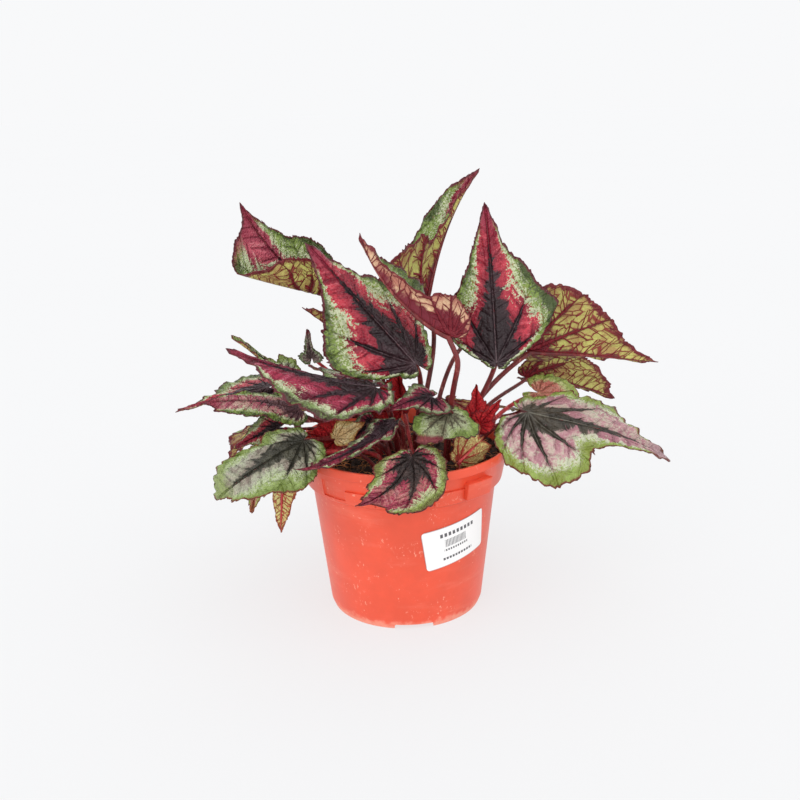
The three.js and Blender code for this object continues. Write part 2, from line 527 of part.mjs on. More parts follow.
// The stalk rises from the soil, bends to the blade and runs on under its midrib for a little way.
function stalkSolid(leaf, rib, place) {
  const { stalkRadius, stalkSides, stalkSteps } = detail[leaf.size];
  const [footX, footY] = leaf.foot;
  const lean = leanOf(leaf);
  const mouth = new THREE.Vector3(footX, footY, soilTop(footX, footY));
  const foot = mouth.clone().addScaledVector(lean, -hole.depth + GAP);
  const collar = mouth.clone().addScaledVector(lean, 3);
  const under = (share) => {
    const here = sheetPoint(leaf, rib, 0, share).applyMatrix4(place);
    const ahead = sheetPoint(leaf, rib, 0, share + 0.05).applyMatrix4(place);
    const forward = ahead.sub(here).normalize();
    const side = new THREE.Vector3(0, 1, 0).transformDirection(place);
    const upward = new THREE.Vector3().crossVectors(forward, side);
    const spot = here.addScaledVector(upward, -stalkRadius * stalkOverlap);
    return { spot, forward, upward };
  };
  const start = under(0.01);
  const end = under(0.16);
  const reach = start.spot.distanceTo(collar);
  const arrive = start.forward.clone().addScaledVector(start.upward, stalkSteepness).normalize();
  const bend = new THREE.CubicBezierCurve3(
    collar,
    collar.clone().addScaledVector(lean, reach * (leaf.rise ?? 0.35)),
    start.spot.clone().addScaledVector(arrive, -reach * 0.3),
    start.spot,
  );
  const route = new THREE.CurvePath();
  route.add(new THREE.LineCurve3(foot, collar));
  route.add(bend);
  route.add(new THREE.LineCurve3(start.spot, end.spot));
  const section = new THREE.Shape();
  for (let i = 0; i < stalkSides; i++) {
    const angle = 2 * Math.PI * i / stalkSides;
    section[i ? 'lineTo' : 'moveTo'](stalkRadius * Math.cos(angle), stalkRadius * Math.sin(angle));
  }
  section.closePath();
  return solidFrom(new THREE.ExtrudeGeometry(section, { steps: stalkSteps, extrudePath: route }));
}

function leafMesh(leaf) {
  const rib = ribTable(leaf);
  const place = placeOf(leaf, rib);
  const solid = bladeSolid(leaf, rib, place).add(stalkSolid(leaf, rib, place));
  return named(leaf.name, geometryFrom(solid), finishes[leaf.finish ?? 'leaf']);
}

// ---------------------------------------------------------------- the whole plant

const plant = new THREE.Group();
plant.add(named('pot', geometryFrom(potSolid()), finishes.pot));
plant.add(named('soil', geometryFrom(soilSolid()), finishes.soil));
plant.add(named('label', geometryFrom(labelSolid()), finishes.label));
for (const leaf of leaves) plant.add(leafMesh(leaf));
plant.position.set(potAxis.x, potAxis.y, 0);

export default plant;
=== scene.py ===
"""Potted begonia: a Rex begonia in a round plastic nursery pot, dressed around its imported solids.

Metres, +Z up. The plant's front faces -Y. Every leaf is a sheet in polar form about the point where
the stalk meets it: an angle from the midrib, positive to the leaf's left, and a share of the way out
to the margin. Everything is built about the pot's axis and moved over at the end, as the solids are.
"""

import math

import bmesh
import bpy
import numpy as np
from bpy.props import FloatProperty, FloatVectorProperty, IntProperty, PointerProperty
from mathutils import Matrix, Vector


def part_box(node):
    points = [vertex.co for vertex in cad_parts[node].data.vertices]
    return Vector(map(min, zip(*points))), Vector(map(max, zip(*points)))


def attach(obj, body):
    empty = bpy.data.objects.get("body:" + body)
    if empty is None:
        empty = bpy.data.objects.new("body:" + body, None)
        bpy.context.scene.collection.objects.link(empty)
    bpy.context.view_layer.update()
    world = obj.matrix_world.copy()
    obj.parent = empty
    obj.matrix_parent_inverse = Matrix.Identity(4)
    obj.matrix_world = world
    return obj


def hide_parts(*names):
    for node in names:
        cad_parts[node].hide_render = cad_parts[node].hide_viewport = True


bl_info = {
    "name": "Potted begonia",
    "version": (1, 0, 0),
    "blender": (4, 5, 0),
    "location": "3D View > Sidebar > Begonia",
    "description": "Builds a Rex begonia in its nursery pot, with soil, label and stage",
    "category": "Object",
}

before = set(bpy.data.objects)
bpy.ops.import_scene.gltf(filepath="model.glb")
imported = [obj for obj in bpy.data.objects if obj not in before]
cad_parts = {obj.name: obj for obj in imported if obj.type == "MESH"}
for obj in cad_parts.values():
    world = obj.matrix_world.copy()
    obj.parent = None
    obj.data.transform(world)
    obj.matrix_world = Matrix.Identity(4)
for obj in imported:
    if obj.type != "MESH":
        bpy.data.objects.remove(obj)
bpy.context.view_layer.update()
POT_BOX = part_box("pot")
AXIS = np.array([(POT_BOX[0].x + POT_BOX[1].x) / 2, (POT_BOX[0].y + POT_BOX[1].y) / 2, 0.0])

# ---------------------------------------------------------------- sizes that the pieces share

MM = 0.001
POT_HEIGHT = 0.120
RIM_RADIUS = 0.075
LIP_HEIGHT = 0.0063
LIP_OVERHANG = 0.002
COLLAR_BOTTOM = 0.095
COLLAR_BOTTOM_RADIUS = 0.0695
STEP_HEIGHT = 0.003
WALL_TOP_RADIUS = 0.065
FOOT_TOP_RADIUS = 0.055
FOOT_RADIUS = 0.0535
FOOT_HEIGHT = 0.004
DRAIN_RADIUS = 0.004
DRAIN_CIRCLE = 0.033
HAIR_RADIUS = 0.00008
WALL = 0.0016
FLOOR = 0.0022
FLOOR_REACH = 40.0  # of the stage, so far that its edge can't be told from the sky

LIP_BOTTOM = POT_HEIGHT - LIP_HEIGHT
COLLAR_TOP_RADIUS = RIM_RADIUS - LIP_OVERHANG
WALL_TOP = COLLAR_BOTTOM - STEP_HEIGHT

SOIL_EDGE = 0.109
SOIL_CROWN = 0.004
SOIL_LUMP = 0.0011

STALK_RADIUS = {"big": 0.0019, "rolled": 0.0019, "medium": 0.0016, "small": 0.0013}
BLADE_GRID = {"big": (230, 30), "rolled": (260, 34), "medium": (150, 22), "small": (104, 16)}
STALK_DEPTH = 0.0107
RIB_COVER = 0.0005  # how much deeper the midrib's top lies where the blade is quilted
BLADE_SPAN = 160
MAIN_VEIN_STEP = 32
SIDE_VEIN_STEP = 0.105

OUTLINE_DEGREES = (0, 4, 10, 20, 35, 55, 80, 105, 130, 150, 165)
OUTLINE_RADII = (1, 0.86, 0.735, 0.645, 0.585, 0.54, 0.45, 0.38, 0.31, 0.24, 0.15)

# One entry a leaf, as in the solids, where only leaf_rim_upright is narrower. Pairs are for the
# leaf's left and right. Angles are in degrees.
LEAVES = [
    dict(node="leaf_tall_left", size="big", foot=(0.008, -0.012), base=(0.009, -0.042, 0.185),
         tip=(-0.06, -0.028, 0.263), face=(-0.2, -0.85, 0.5), fold=(-10, -45), droop=14,
         lobe_rise=80, lobe=(0.3, 0.5), wave=0.015, waves=4),
    dict(node="leaf_tall_right", size="big", foot=(0.034, -0.014), base=(0.063, -0.026, 0.18),
         tip=(0.057, -0.004, 0.284), face=(0.1, -0.93, 0.35), fold=(-23, -9), droop=19,
         lobe_rise=70, wide=(0.83, 1.08), lobe=(0.2, 0.2), tail=(1, 0.95),
         bumps=((-35, 16, -0.12),), wave=0.012, waves=4),
    dict(node="leaf_folded_centre", size="big", foot=(0.03, -0.024), base=(0.031, -0.056, 0.206),
         tip=(-0.024, -0.05, 0.271), face=(0.54, 0.52, 0.52), fold=(66, 27), droop=-46, twist=-75,
         sickle=0.04, wide=(0.6, 0.97), lobe=(0.9, 0.6), tail=(0.94, 1.04), rise=0.9,
         look="tan_under"),
    dict(node="leaf_folded_top", size="big", foot=(0.01, 0.002), base=(0.017, 0.022, 0.212),
         tip=(0.057, 0.035, 0.303), face=(-0.87, -0.15, 0.41), fold=(32, 62), droop=15, hook=14,
         twist=49, wide=(0.71, 0.89), lobe=(1, 1.27), tail=(1.07, 0.72),
         look="verdant"),
    dict(node="leaf_rolled_left", size="rolled", foot=(-0.005, 0.012), base=(-0.059, 0.012, 0.229),
         tip=(-0.104, 0, 0.287), face=(-0.15, -0.8, 0.6), fold=(-18, 0), droop=3, sickle=-0.34,
         crease=(14, 152, 0.07), wide=(1.2, 0.85), tail=(1, 1.05), bumps=((24, 29, 0.3),),
         look="mauve"),
    dict(node="leaf_right_upper", size="big", foot=(0.036, 0.002), base=(0.09, 0.018, 0.177),
         tip=(0.183, 0.02, 0.166), face=(0, 0.88, 0.52), fold=(32, 20), droop=10, twist=8,
         wide=(0.7, 1.08), lobe=(1, 1.15), tail=(0.95, 1)),
    dict(node="leaf_right_under", size="medium", foot=(0.044, 0), base=(0.094, 0.062, 0.146),
         tip=(0.163, 0.064, 0.127), face=(0.1, 0.76, 0.58), fold=(26, 25), droop=28, twist=-19,
         wide=(0.47, 1.02), lobe=(0.7, 0.5), tail=(0.75, 1.16)),
    dict(node="leaf_right_broad", size="big", foot=(0.048, -0.013), base=(0.084, -0.028, 0.146),
         tip=(0.185, -0.015, 0.104), face=(0.33, -0.75, 0.68), fold=(-31, -22), droop=25, hook=25,
         lobe_rise=47, sickle=0.08, wide=(0.84, 0.91), lobe=(0.56, 0.94), tail=(0.8, 0.74),
         bumps=((22, 26, 0.45),), wave=0.02, waves=4, look="pale"),
    dict(node="leaf_right_small", size="medium", foot=(0.051, -0.004), base=(0.097, 0.012, 0.148),
         tip=(0.138, 0.018, 0.11), face=(0.39, -0.6, 1), droop=50, wide=(1.1, 1), lobe=(0.75, 0.9),
         look="salmon"),
    dict(node="leaf_left_long", size="big", foot=(-0.003, -0.015), base=(-0.018, -0.045, 0.171),
         tip=(-0.111, -0.055, 0.201), face=(0.05, -0.49, 0.93), fold=(8, -32), droop=-18, hook=-7,
         sickle=0.04, wide=(1.02, 0.89), lobe=(0.66, 0.6), tail=(1.04, 0.59), wave=0.02, waves=5,
         look="wine"),
    dict(node="leaf_left_outer", size="medium", foot=(-0.007, -0.006), base=(-0.091, -0.015, 0.164),
         tip=(-0.153, -0.025, 0.151), face=(0, -0.5, 0.85), fold=(-60, -27), droop=20, sickle=-0.11,
         wide=(0.66, 1), lobe=(1, 1.1), tail=(0.64, 0.9)),
    dict(node="leaf_left_middle", size="medium", foot=(-0.01, -0.012), base=(-0.068, -0.035, 0.154),
         tip=(-0.13, -0.045, 0.162), face=(0, -0.5, 0.85), fold=(-22, -8), droop=26, sickle=0.1,
         wide=(0.4, 0.57), lobe=(1.17, 1), tail=(1.13, 1), bumps=((31, 29, 0.39),), look="pink"),
    dict(node="leaf_left_broad", size="big", foot=(-0.008, -0.024), base=(-0.065, -0.052, 0.138),
         tip=(-0.122, -0.066, 0.103), face=(-0.12, -0.8, 0.3), fold=(9, -30), droop=38, hook=47,
         wide=(0.93, 0.68), lobe=(0.7, 0.75), tail=(1.12, 1.4), bumps=((-15, 18, 0.32),),
         look="silver"),
    dict(node="leaf_left_hidden", size="small", foot=(-0.014, -0.004), base=(-0.085, -0.014, 0.135),
         tip=(-0.116, -0.02, 0.123), face=(-0.3, -0.6, 0.7), droop=20),
    dict(node="leaf_left_tucked", size="small", foot=(-0.015, -0.011), base=(-0.094, -0.03, 0.12),
         tip=(-0.106, -0.03, 0.078), face=(-0.3, -0.9, 0.1), fold=(20, 20), droop=10,
         wide=(0.7, 0.7), rise=0.25, lean=0.55, look="salmon"),
    dict(node="leaf_left_hanging", size="medium", foot=(-0.014, -0.029),
         base=(-0.08, -0.047, 0.121), tip=(-0.085, -0.042, 0.068), face=(0.1, 0.95, -0.1),
         fold=(20, 20), droop=10, wide=(0.7, 0.7), rise=0.2,
         look="salmon"),
    dict(node="leaf_left_upright", size="small", foot=(-0.001, 0.002), base=(-0.062, 0.002, 0.18),
         tip=(-0.064, -0.002, 0.201), face=(-0.2, -0.95, 0.2), fold=(10, 10), droop=10,
         wide=(0.6, 0.6), lobe=(1.6, 1.6), look="greyed"),
    dict(node="leaf_left_thin", size="small", foot=(-0.009, 0.004), base=(-0.08, 0.014, 0.163),
         tip=(-0.118, 0.014, 0.195), face=(0.2, -0.3, 0.9), fold=(30, 30), droop=-10,
         wide=(0.6, 0.6), tail=(0.6, 0.6), look="silver"),
    dict(node="leaf_front_rim", size="medium", foot=(0.005, -0.039), base=(0.004, -0.076, 0.133),
         tip=(-0.031, -0.096, 0.109), face=(0.1, -0.87, 0.22), fold=(30, -14), droop=45,
         sickle=-0.4, wide=(1.45, 0.95), lobe=(0.85, 0.47), tail=(1, 1.09), look="dusky"),
    dict(node="leaf_centre_curled", size="small", foot=(0.014, -0.028), base=(0.019, -0.044, 0.163),
         tip=(-0.01, -0.058, 0.158), face=(0.13, -0.5, 0.85), fold=(-13, -8), curl=(40, 0),
         droop=40, wide=(0.9, 0.9), lobe=(1.7, 1.1), look="wine"),
    dict(node="leaf_centre_long", size="medium", foot=(0, -0.03), base=(-0.006, -0.054, 0.15),
         tip=(-0.068, -0.08, 0.127), face=(-0.55, -0.48, 0.79), fold=(18, 5), droop=-20,
         sickle=-0.18, wide=(0.6, 0.48), lobe=(0.49, 0.37), tail=(0.92, 0.78), look="wine"),
    dict(node="leaf_centre_pale", size="small", foot=(0.027, -0.037), base=(0.029, -0.052, 0.154),
         tip=(0.023, -0.078, 0.143), face=(0.06, -0.51, 0.86), fold=(-23, -7), droop=5,
         wide=(1.22, 1.69), lobe=(1.55, 0.83), tail=(1, 1.5), look="frosted"),
    dict(node="leaf_rim_upright", size="small", foot=(0.036, -0.044), base=(0.036, -0.05, 0.121),
         tip=(0.054, -0.04, 0.134), face=(0, 0.9, 0.4), fold=(10, 10), droop=0, wide=(1.9, 1.9),
         lobe=(0.4, 0.4), look="salmon"),
    dict(node="leaf_behind_left", size="medium", foot=(0.002, -0.005), base=(-0.013, -0.004, 0.17),
         tip=(-0.065, -0.012, 0.219), face=(0, 0.6, 0.8), fold=(30, 30), droop=10, wide=(0.7, 0.7),
         lobe=(0.6, 0.6)),
    dict(node="young_leaf_right", size="small", foot=(0.038, -0.022), base=(0.049, -0.026, 0.137),
         tip=(0.05, -0.022, 0.165), face=(0.2, -0.9, 0.2), fold=(25, 25), droop=5, look="young"),
    dict(node="young_leaf_outer", size="small", foot=(0.049, -0.023), base=(0.051, -0.036, 0.141),
         tip=(0.065, -0.04, 0.159), face=(0.1, -0.8, 0.3), fold=(20, 20), droop=5, wide=(0.8, 0.8),
         look="young"),
    dict(node="young_leaf_left", size="small", foot=(0.007, -0.022), base=(0, -0.012, 0.146),
         tip=(-0.003, -0.01, 0.176), face=(-0.1, -0.9, 0.1), fold=(30, 30), droop=5,
         wide=(1.3, 0.7), lobe=(1.5, 0.7), look="young"),
    dict(node="young_leaf_low", size="small", foot=(-0.016, -0.017), base=(-0.046, -0.032, 0.131),
         tip=(-0.065, -0.037, 0.138), face=(-0.1, -0.8, 0.5), fold=(20, 20), droop=10,
         wide=(1.3, 1.3), look="young"),
    dict(node="dry_leaf", size="small", foot=(-0.019, -0.039), base=(-0.044, -0.05, 0.138),
         tip=(-0.024, -0.053, 0.15), face=(0.1, -0.8, 0.6), fold=(10, 10), droop=10,
         lobe=(0.5, 0.5), look="dry"),
    dict(node="leaf_centre_tip", size="small", foot=(-0.007, -0.033), base=(-0.021, -0.036, 0.145),
         tip=(-0.038, -0.038, 0.128), face=(-0.2, -0.8, 0.5), droop=10, wide=(0.8, 0.8),
         look="wine"),
    dict(node="leaf_back_left", size="medium", foot=(-0.008, 0.023), base=(-0.088, 0.05, 0.124),
         tip=(-0.14, 0.082, 0.074), face=(-0.4, 0.3, 0.8), droop=40),
    dict(node="leaf_back_low_left", size="medium", foot=(0.002, 0.031), base=(-0.03, 0.074, 0.127),
         tip=(-0.048, 0.119, 0.06), face=(-0.1, 0.7, 0.8), droop=40, lobe=(0.7, 0.7),
         look="silver"),
    dict(node="leaf_back_low_right", size="medium", foot=(0.014, 0.032), base=(0.034, 0.082, 0.124),
         tip=(0.058, 0.116, 0.064), face=(0.1, 0.7, 0.8), droop=40, wide=(0.8, 0.8),
         lobe=(0.4, 0.4), look="wine"),
    dict(node="leaf_back_right", size="medium", foot=(0.03, 0.022), base=(0.088, 0.046, 0.126),
         tip=(0.152, 0.078, 0.076), face=(0.4, 0.4, 0.8), droop=40, look="pale"),
    dict(node="leaf_back_high_left", size="medium", foot=(0.004, 0.018), base=(-0.008, 0.07, 0.168),
         tip=(-0.057, 0.12, 0.173), face=(-0.2, 0.5, 0.8), droop=20),
    dict(node="leaf_back_high_right", size="medium", foot=(0.019, 0.014), base=(0.06, 0.06, 0.19),
         tip=(0.108, 0.106, 0.19), face=(0.2, 0.5, 0.8), droop=20, rise=0.9),
]


def paint(red, green, blue):
    """A colour given as it shows on a screen, from 0 to 255, as the linear one that shaders take."""
    shown = np.array([red, green, blue]) / 255
    linear = np.where(shown < 0.04045, shown / 12.92, ((shown + 0.055) / 1.055) ** 2.4)
    return tuple(float(value) for value in linear)


# The colours of a blade's zones, from the stalk outwards, and where each zone starts. A look gives
# only what differs from the plant's usual crimson leaf. Colours are as a screen shows them, 0 to 255.
# The star's lighter second colour and the band's paler colour are painted sheen, for their highlights.
CRIMSON = dict(
    star=(42, 25, 30), star_sheen=(66, 42, 48), midrib=(118, 96, 100), band=(206, 60, 76),
    band_sheen=(224, 112, 122), band_deep=(136, 24, 46), band_vein=(78, 14, 30),
    silver=(204, 210, 172), green=(134, 156, 74), dark=(70, 84, 40), edge=(98, 32, 42),
    tip=(150, 46, 68), cell=(212, 212, 118), cell_dull=(184, 154, 92), vein=(140, 28, 42),
    root=(104, 22, 38), under_edge=(122, 36, 42), star_reach=0.32, star_flame=0.46, star_along=0.64,
    star_width=0.19, silver_from=0.68, green_from=0.88, dark_from=0.955, mottle=0.0, grain=44,
    root_to=0.34, scallop=0.0006,
)
LOOKS = {
    "crimson": {},
    "mauve": dict(
        band=(196, 84, 100), band_sheen=(222, 146, 150), band_deep=(150, 52, 72), star_reach=0.12,
        star_flame=0.3, star_along=0.5, star_width=0.03, silver_from=0.50, green_from=0.84,
        dark_from=0.94),
    "verdant": dict(
        band=(190, 84, 98), band_sheen=(220, 160, 160), band_deep=(150, 48, 66), star_reach=0.2,
        star_flame=0.3, star_along=0.4, star_width=0.04, silver_from=0.36, green_from=0.80,
        dark_from=0.93, root_to=0.42),
    "tan_under": dict(
        cell=(232, 196, 156), cell_dull=(196, 128, 108), vein=(126, 22, 38), root=(118, 24, 42),
        root_to=0.66, silver_from=0.42, green_from=0.8),
    "wine": dict(
        star=(44, 26, 32), star_sheen=(72, 44, 54), band=(172, 46, 76), band_sheen=(204, 112, 134),
        band_deep=(104, 20, 44), dark=(80, 66, 52), green=(130, 156, 90), silver_from=0.74,
        green_from=0.88, dark_from=0.955, star_reach=0.36, star_flame=0.4, star_along=0.6,
        star_width=0.15),
    "dusky": dict(
        star=(50, 38, 36), star_sheen=(80, 62, 58), band=(182, 54, 86), band_sheen=(208, 122, 142),
        band_deep=(134, 34, 58), band_vein=(92, 34, 50), silver=(196, 202, 156),
        green=(152, 170, 84), dark=(110, 106, 52), edge=(112, 44, 36), silver_from=0.72,
        green_from=0.84, dark_from=0.95, star_reach=0.44, star_flame=0.36, star_along=0.6,
        star_width=0.16, mottle=0.22, grain=32, scallop=0.0010),
    "pale": dict(
        star=(56, 50, 42), star_sheen=(84, 76, 64), midrib=(132, 128, 114), band=(204, 158, 160),
        band_sheen=(226, 196, 194), band_deep=(172, 116, 126), band_vein=(110, 88, 84),
        silver=(206, 208, 180), green=(152, 174, 84), dark=(134, 146, 62), edge=(120, 62, 44),
        tip=(184, 148, 152), silver_from=0.72, green_from=0.86, dark_from=0.97, star_reach=0.30,
        star_flame=0.46, star_along=0.56, star_width=0.13, mottle=0.5, grain=26, scallop=0.0016),
    "silver": dict(
        star=(62, 60, 50), star_sheen=(92, 90, 76), midrib=(66, 66, 54), band=(176, 176, 156),
        band_sheen=(206, 178, 176), band_deep=(142, 128, 116), band_vein=(92, 88, 74),
        silver=(188, 198, 160), green=(150, 170, 96), dark=(120, 138, 64), edge=(126, 70, 44),
        tip=(150, 166, 96), silver_from=0.60, green_from=0.82, dark_from=0.955, star_reach=0.40,
        star_flame=0.40, star_along=0.62, star_width=0.12, mottle=0.3, grain=30, scallop=0.0016),
    "pink": dict(
        star=(96, 64, 70), star_sheen=(128, 92, 96), midrib=(150, 96, 100), band=(196, 120, 128),
        band_sheen=(214, 166, 162), band_deep=(164, 76, 94), band_vein=(130, 62, 74),
        silver_from=0.64, green_from=0.80, dark_from=0.95, star_reach=0.36, star_flame=0.2,
        star_along=0.4, star_width=0.16, mottle=0.35, grain=34),
    "salmon": dict(
        star=(214, 128, 112), star_sheen=(224, 148, 128), midrib=(222, 190, 120),
        band=(226, 150, 134), band_sheen=(230, 186, 160), band_deep=(208, 112, 98),
        band_vein=(196, 96, 76), silver=(214, 216, 150), green=(178, 194, 96), dark=(150, 170, 74),
        edge=(150, 70, 40), tip=(190, 120, 80), cell=(236, 232, 150), cell_dull=(226, 208, 132),
        vein=(204, 66, 56), root=(206, 96, 74), under_edge=(170, 80, 52), silver_from=0.60,
        green_from=0.78, mottle=0.25, root_to=0.10, scallop=0.0012),
    "greyed": dict(
        star=(104, 84, 84), star_sheen=(130, 108, 106), midrib=(150, 132, 124), band=(168, 142, 140),
        band_sheen=(196, 176, 170), band_deep=(136, 104, 102), band_vein=(120, 84, 80),
        silver=(184, 194, 164), green=(140, 156, 108), dark=(100, 108, 74), edge=(84, 48, 42),
        mottle=0.5),
    "frosted": dict(
        star=(112, 106, 84), star_sheen=(150, 150, 120), midrib=(170, 176, 140),
        band=(182, 192, 146), band_sheen=(206, 204, 176), band_deep=(120, 112, 84),
        band_vein=(88, 54, 56), silver=(208, 216, 174), green=(160, 184, 96), dark=(124, 146, 66),
        edge=(84, 48, 50), silver_from=0.55, green_from=0.78, mottle=0.5, grain=30, scallop=0.0014),
    "young": dict(
        star=(186, 20, 32), star_sheen=(216, 32, 42), midrib=(240, 84, 80), band=(226, 34, 44),
        band_sheen=(244, 84, 82), band_deep=(180, 18, 30), band_vein=(138, 12, 22),
        silver=(232, 58, 58), green=(206, 36, 42), dark=(166, 18, 30), edge=(116, 12, 20),
        tip=(222, 54, 48), cell=(240, 62, 58), cell_dull=(214, 34, 42), vein=(156, 14, 26),
        root=(190, 22, 34), under_edge=(144, 14, 24), scallop=0.0004),
    "dry": dict(
        star=(230, 190, 134), star_sheen=(238, 206, 152), midrib=(222, 186, 128),
        band=(248, 224, 170), band_sheen=(252, 236, 194), band_deep=(228, 182, 122),
        band_vein=(178, 120, 70), silver=(236, 216, 156), green=(216, 172, 102),
        dark=(190, 126, 66), edge=(156, 84, 42), tip=(190, 120, 62), cell=(240, 216, 164),
        cell_dull=(222, 184, 130), vein=(186, 116, 70), root=(212, 160, 106),
        under_edge=(150, 84, 44)),
}
SLOTS = {"young": "young_leaf", "dry": "dry_leaf"}


# ---------------------------------------------------------------- settings that a user may change

def length_property(label, help_text, default):
    """A size in metres for a settings group."""
    return FloatProperty(name=label, description=help_text, default=default, min=0,
                         subtype="DISTANCE", unit="LENGTH", precision=5)


def colour_property(label, help_text, default):
    """A colour for a settings group."""
    return FloatVectorProperty(name=label, description=help_text, default=default,
                               subtype="COLOR", size=3, min=0, max=1)


class BEGONIA_PG_leaves(bpy.types.PropertyGroup):
    """Sizes and colours that all leaves share."""

    thickness: length_property("Thickness", "Thickness of a blade", 0.0005)
    tooth: length_property("Tooth", "How far a tooth stands out of the margin", 0.0021)
    tooth_step: length_property("Tooth step", "Length of margin that a tooth takes", 0.0050)
    scallop_step: length_property("Scallop", "Length of margin that a broad scallop takes", 0.011)
    ruffle: length_property("Ruffle", "How far the margin waves up and down", 0.0015)
    quilt: length_property("Quilting", "How far the blade bulges between its veins", 0.0010)
    hair: length_property("Hair", "Length of the hairs on a stalk", 0.0014)
    shade: FloatProperty(name="Shade", description="Factor on all colours of the blades",
                         default=0.84, min=0.1, max=2)
    stalk: colour_property("Stalk", "Colour of the leaf stalks", paint(122, 34, 36))
    young_stalk: colour_property("Young stalk", "Colour of young stalks", paint(204, 62, 66))


class BEGONIA_PG_pot(bpy.types.PropertyGroup):
    """Sizes and colours of the pot."""

    segments: IntProperty(name="Segments", description="Steps around the pot", default=144, min=24)
    rounding: length_property("Rounding", "Radius of the pot's moulded corners", 0.0008)
    plastic: colour_property("Plastic", "Colour of the pot", paint(234, 84, 54))
    scuff: colour_property("Scuff", "Colour of scratches and dried splashes", paint(246, 168, 144))


class BEGONIA_PG_soil(bpy.types.PropertyGroup):
    """Sizes and colours of the potting soil."""

    chunks: IntProperty(name="Chunks", description="Loose pieces on top", default=420, min=0)
    fibres: IntProperty(name="Fibres", description="Coir fibres on top", default=420, min=0)
    dark: colour_property("Soil", "Colour of the soil", paint(52, 34, 24))
    light: colour_property("Crumbs", "Colour of the paler crumbs", paint(118, 82, 54))
    fibre: colour_property("Fibre", "Colour of the coir fibres", paint(196, 130, 76))


class BEGONIA_PG_label(bpy.types.PropertyGroup):
    """Sizes and colours of the sticker."""

    width: length_property("Width", "Width of the sticker", 0.050)
    height: length_property("Height", "Height of the sticker", 0.030)
    corner: length_property("Corner", "Radius of its corners", 0.003)
    paper: colour_property("Paper", "Colour of the paper", paint(246, 245, 244))
    ink: colour_property("Ink", "Colour of the plain marks", paint(46, 44, 52))
    # Painted shadow: this dark red line just inside the sticker's edge stands in for the thin shade at
    # its rim.
    edge_shadow: colour_property("Border", "Colour of the line round the edge", paint(120, 36, 40))


class BEGONIA_PG_stage(bpy.types.PropertyGroup):
    """Camera, light and floor."""

    distance: length_property("Distance", "From the camera to what it aims at", 0.698)
    elevation: FloatProperty(name="Elevation", description="Camera's angle above level",
                             default=math.radians(16.4), subtype="ANGLE", unit="ROTATION")
    roll: FloatProperty(name="Roll", description="Camera's turn about its own line of sight",
                        default=math.radians(-1.36), subtype="ANGLE", unit="ROTATION")
    aim: FloatVectorProperty(name="Aim", description="What the camera looks at, from the pot's axis",
                             default=(-0.0016, 0, 0.1485), subtype="TRANSLATION", unit="LENGTH")
    floor: colour_property("Floor", "Colour of the floor and backdrop", (0.22, 0.22, 0.222))
    glow: colour_property("Floor glow", "Light that the floor gives off", (0.671, 0.675, 0.681))


PART_GROUPS = {
    "leaves": BEGONIA_PG_leaves,
    "pot": BEGONIA_PG_pot,
    "soil": BEGONIA_PG_soil,
    "label": BEGONIA_PG_label,
    "stage": BEGONIA_PG_stage,
}


class BEGONIA_PG_settings(bpy.types.PropertyGroup):
    """All settings of the plant."""

    leaves: PointerProperty(type=BEGONIA_PG_leaves, name="Leaves", description="The leaves")
    pot: PointerProperty(type=BEGONIA_PG_pot, name="Pot", description="The pot")
    soil: PointerProperty(type=BEGONIA_PG_soil, name="Soil", description="The soil")
    label: PointerProperty(type=BEGONIA_PG_label, name="Label", description="The sticker")
    stage: PointerProperty(type=BEGONIA_PG_stage, name="Stage", description="Camera and light")


# ---------------------------------------------------------------- small helpers

def deselect_all():
    for obj in bpy.context.selected_objects:
        obj.select_set(False)


def select_only(obj):
    deselect_all()
    obj.select_set(True)
    bpy.context.view_layer.objects.active = obj


def primitive(kind, **settings):
    """A new mesh primitive, with nothing else selected."""
    deselect_all()
    getattr(bpy.ops.mesh, f"primitive_{kind}_add")(**settings)
    return bpy.context.object


def write_uv(obj, layer, values):
    """Writes one pair of values a vertex into a UV map."""
    corners = np.empty(len(obj.data.loops), int)
    obj.data.loops.foreach_get("vertex_index", corners)
    layer.data.foreach_set("uv", np.stack(values, -1)[corners].ravel())


def points_of(obj):
    flat = np.empty(len(obj.data.vertices) * 3)
    obj.data.vertices.foreach_get("co", flat)
    return flat.reshape(-1, 3)


def set_points(obj, points):
    obj.data.vertices.foreach_set("co", np.asarray(points, float).ravel())
    obj.data.update()


def edit_all(obj, *steps):
    """Runs edit-mode operators, each a function to call. All is selected before the first only."""
    select_only(obj)
    bpy.ops.object.mode_set(mode="EDIT")
    bpy.ops.mesh.select_all(action="SELECT")
    for step in steps:
        step()
    bpy.ops.object.mode_set(mode="OBJECT")


def merge_doubles(distance=1e-6):
    bpy.ops.mesh.remove_doubles(threshold=distance)


def face_outwards():
    bpy.ops.mesh.normals_make_consistent(inside=False)


def apply_modifier(obj, kind, **settings):
    select_only(obj)
    modifier = obj.modifiers.new(kind.title(), kind)
    for name, value in settings.items():
        setattr(modifier, name, value)
    bpy.ops.object.modifier_apply(modifier=modifier.name)


def join(target, others):
    select_only(target)
    for obj in others:
        obj.select_set(True)
    bpy.ops.object.join()
    return target


def give_material(obj, *materials):
    obj.data.materials.clear()
    for material in materials:
        obj.data.materials.append(material)


def hand_in(piece, name, node):
    """Moves a finished piece from the pot's axis to its place, names it and hides the solid it stands
    for.
    """
    piece.name = name
    piece.data.name = name
    piece.data.transform(Matrix.Translation(AXIS))
    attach(piece, "root")
    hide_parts(node)
    return piece


def mesh_object(name, points, faces):
    mesh = bpy.data.meshes.new(name)
    mesh.from_pydata([tuple(p) for p in points], [], faces)
    obj = bpy.data.objects.new(name, mesh)
    bpy.context.collection.objects.link(obj)
    return obj


def unit(vector):
    return vector / np.linalg.norm(vector)


def smoothstep(low, high, x):
    share = np.clip((x - low) / (high - low), 0, 1)
    return share * share * (3 - 2 * share)


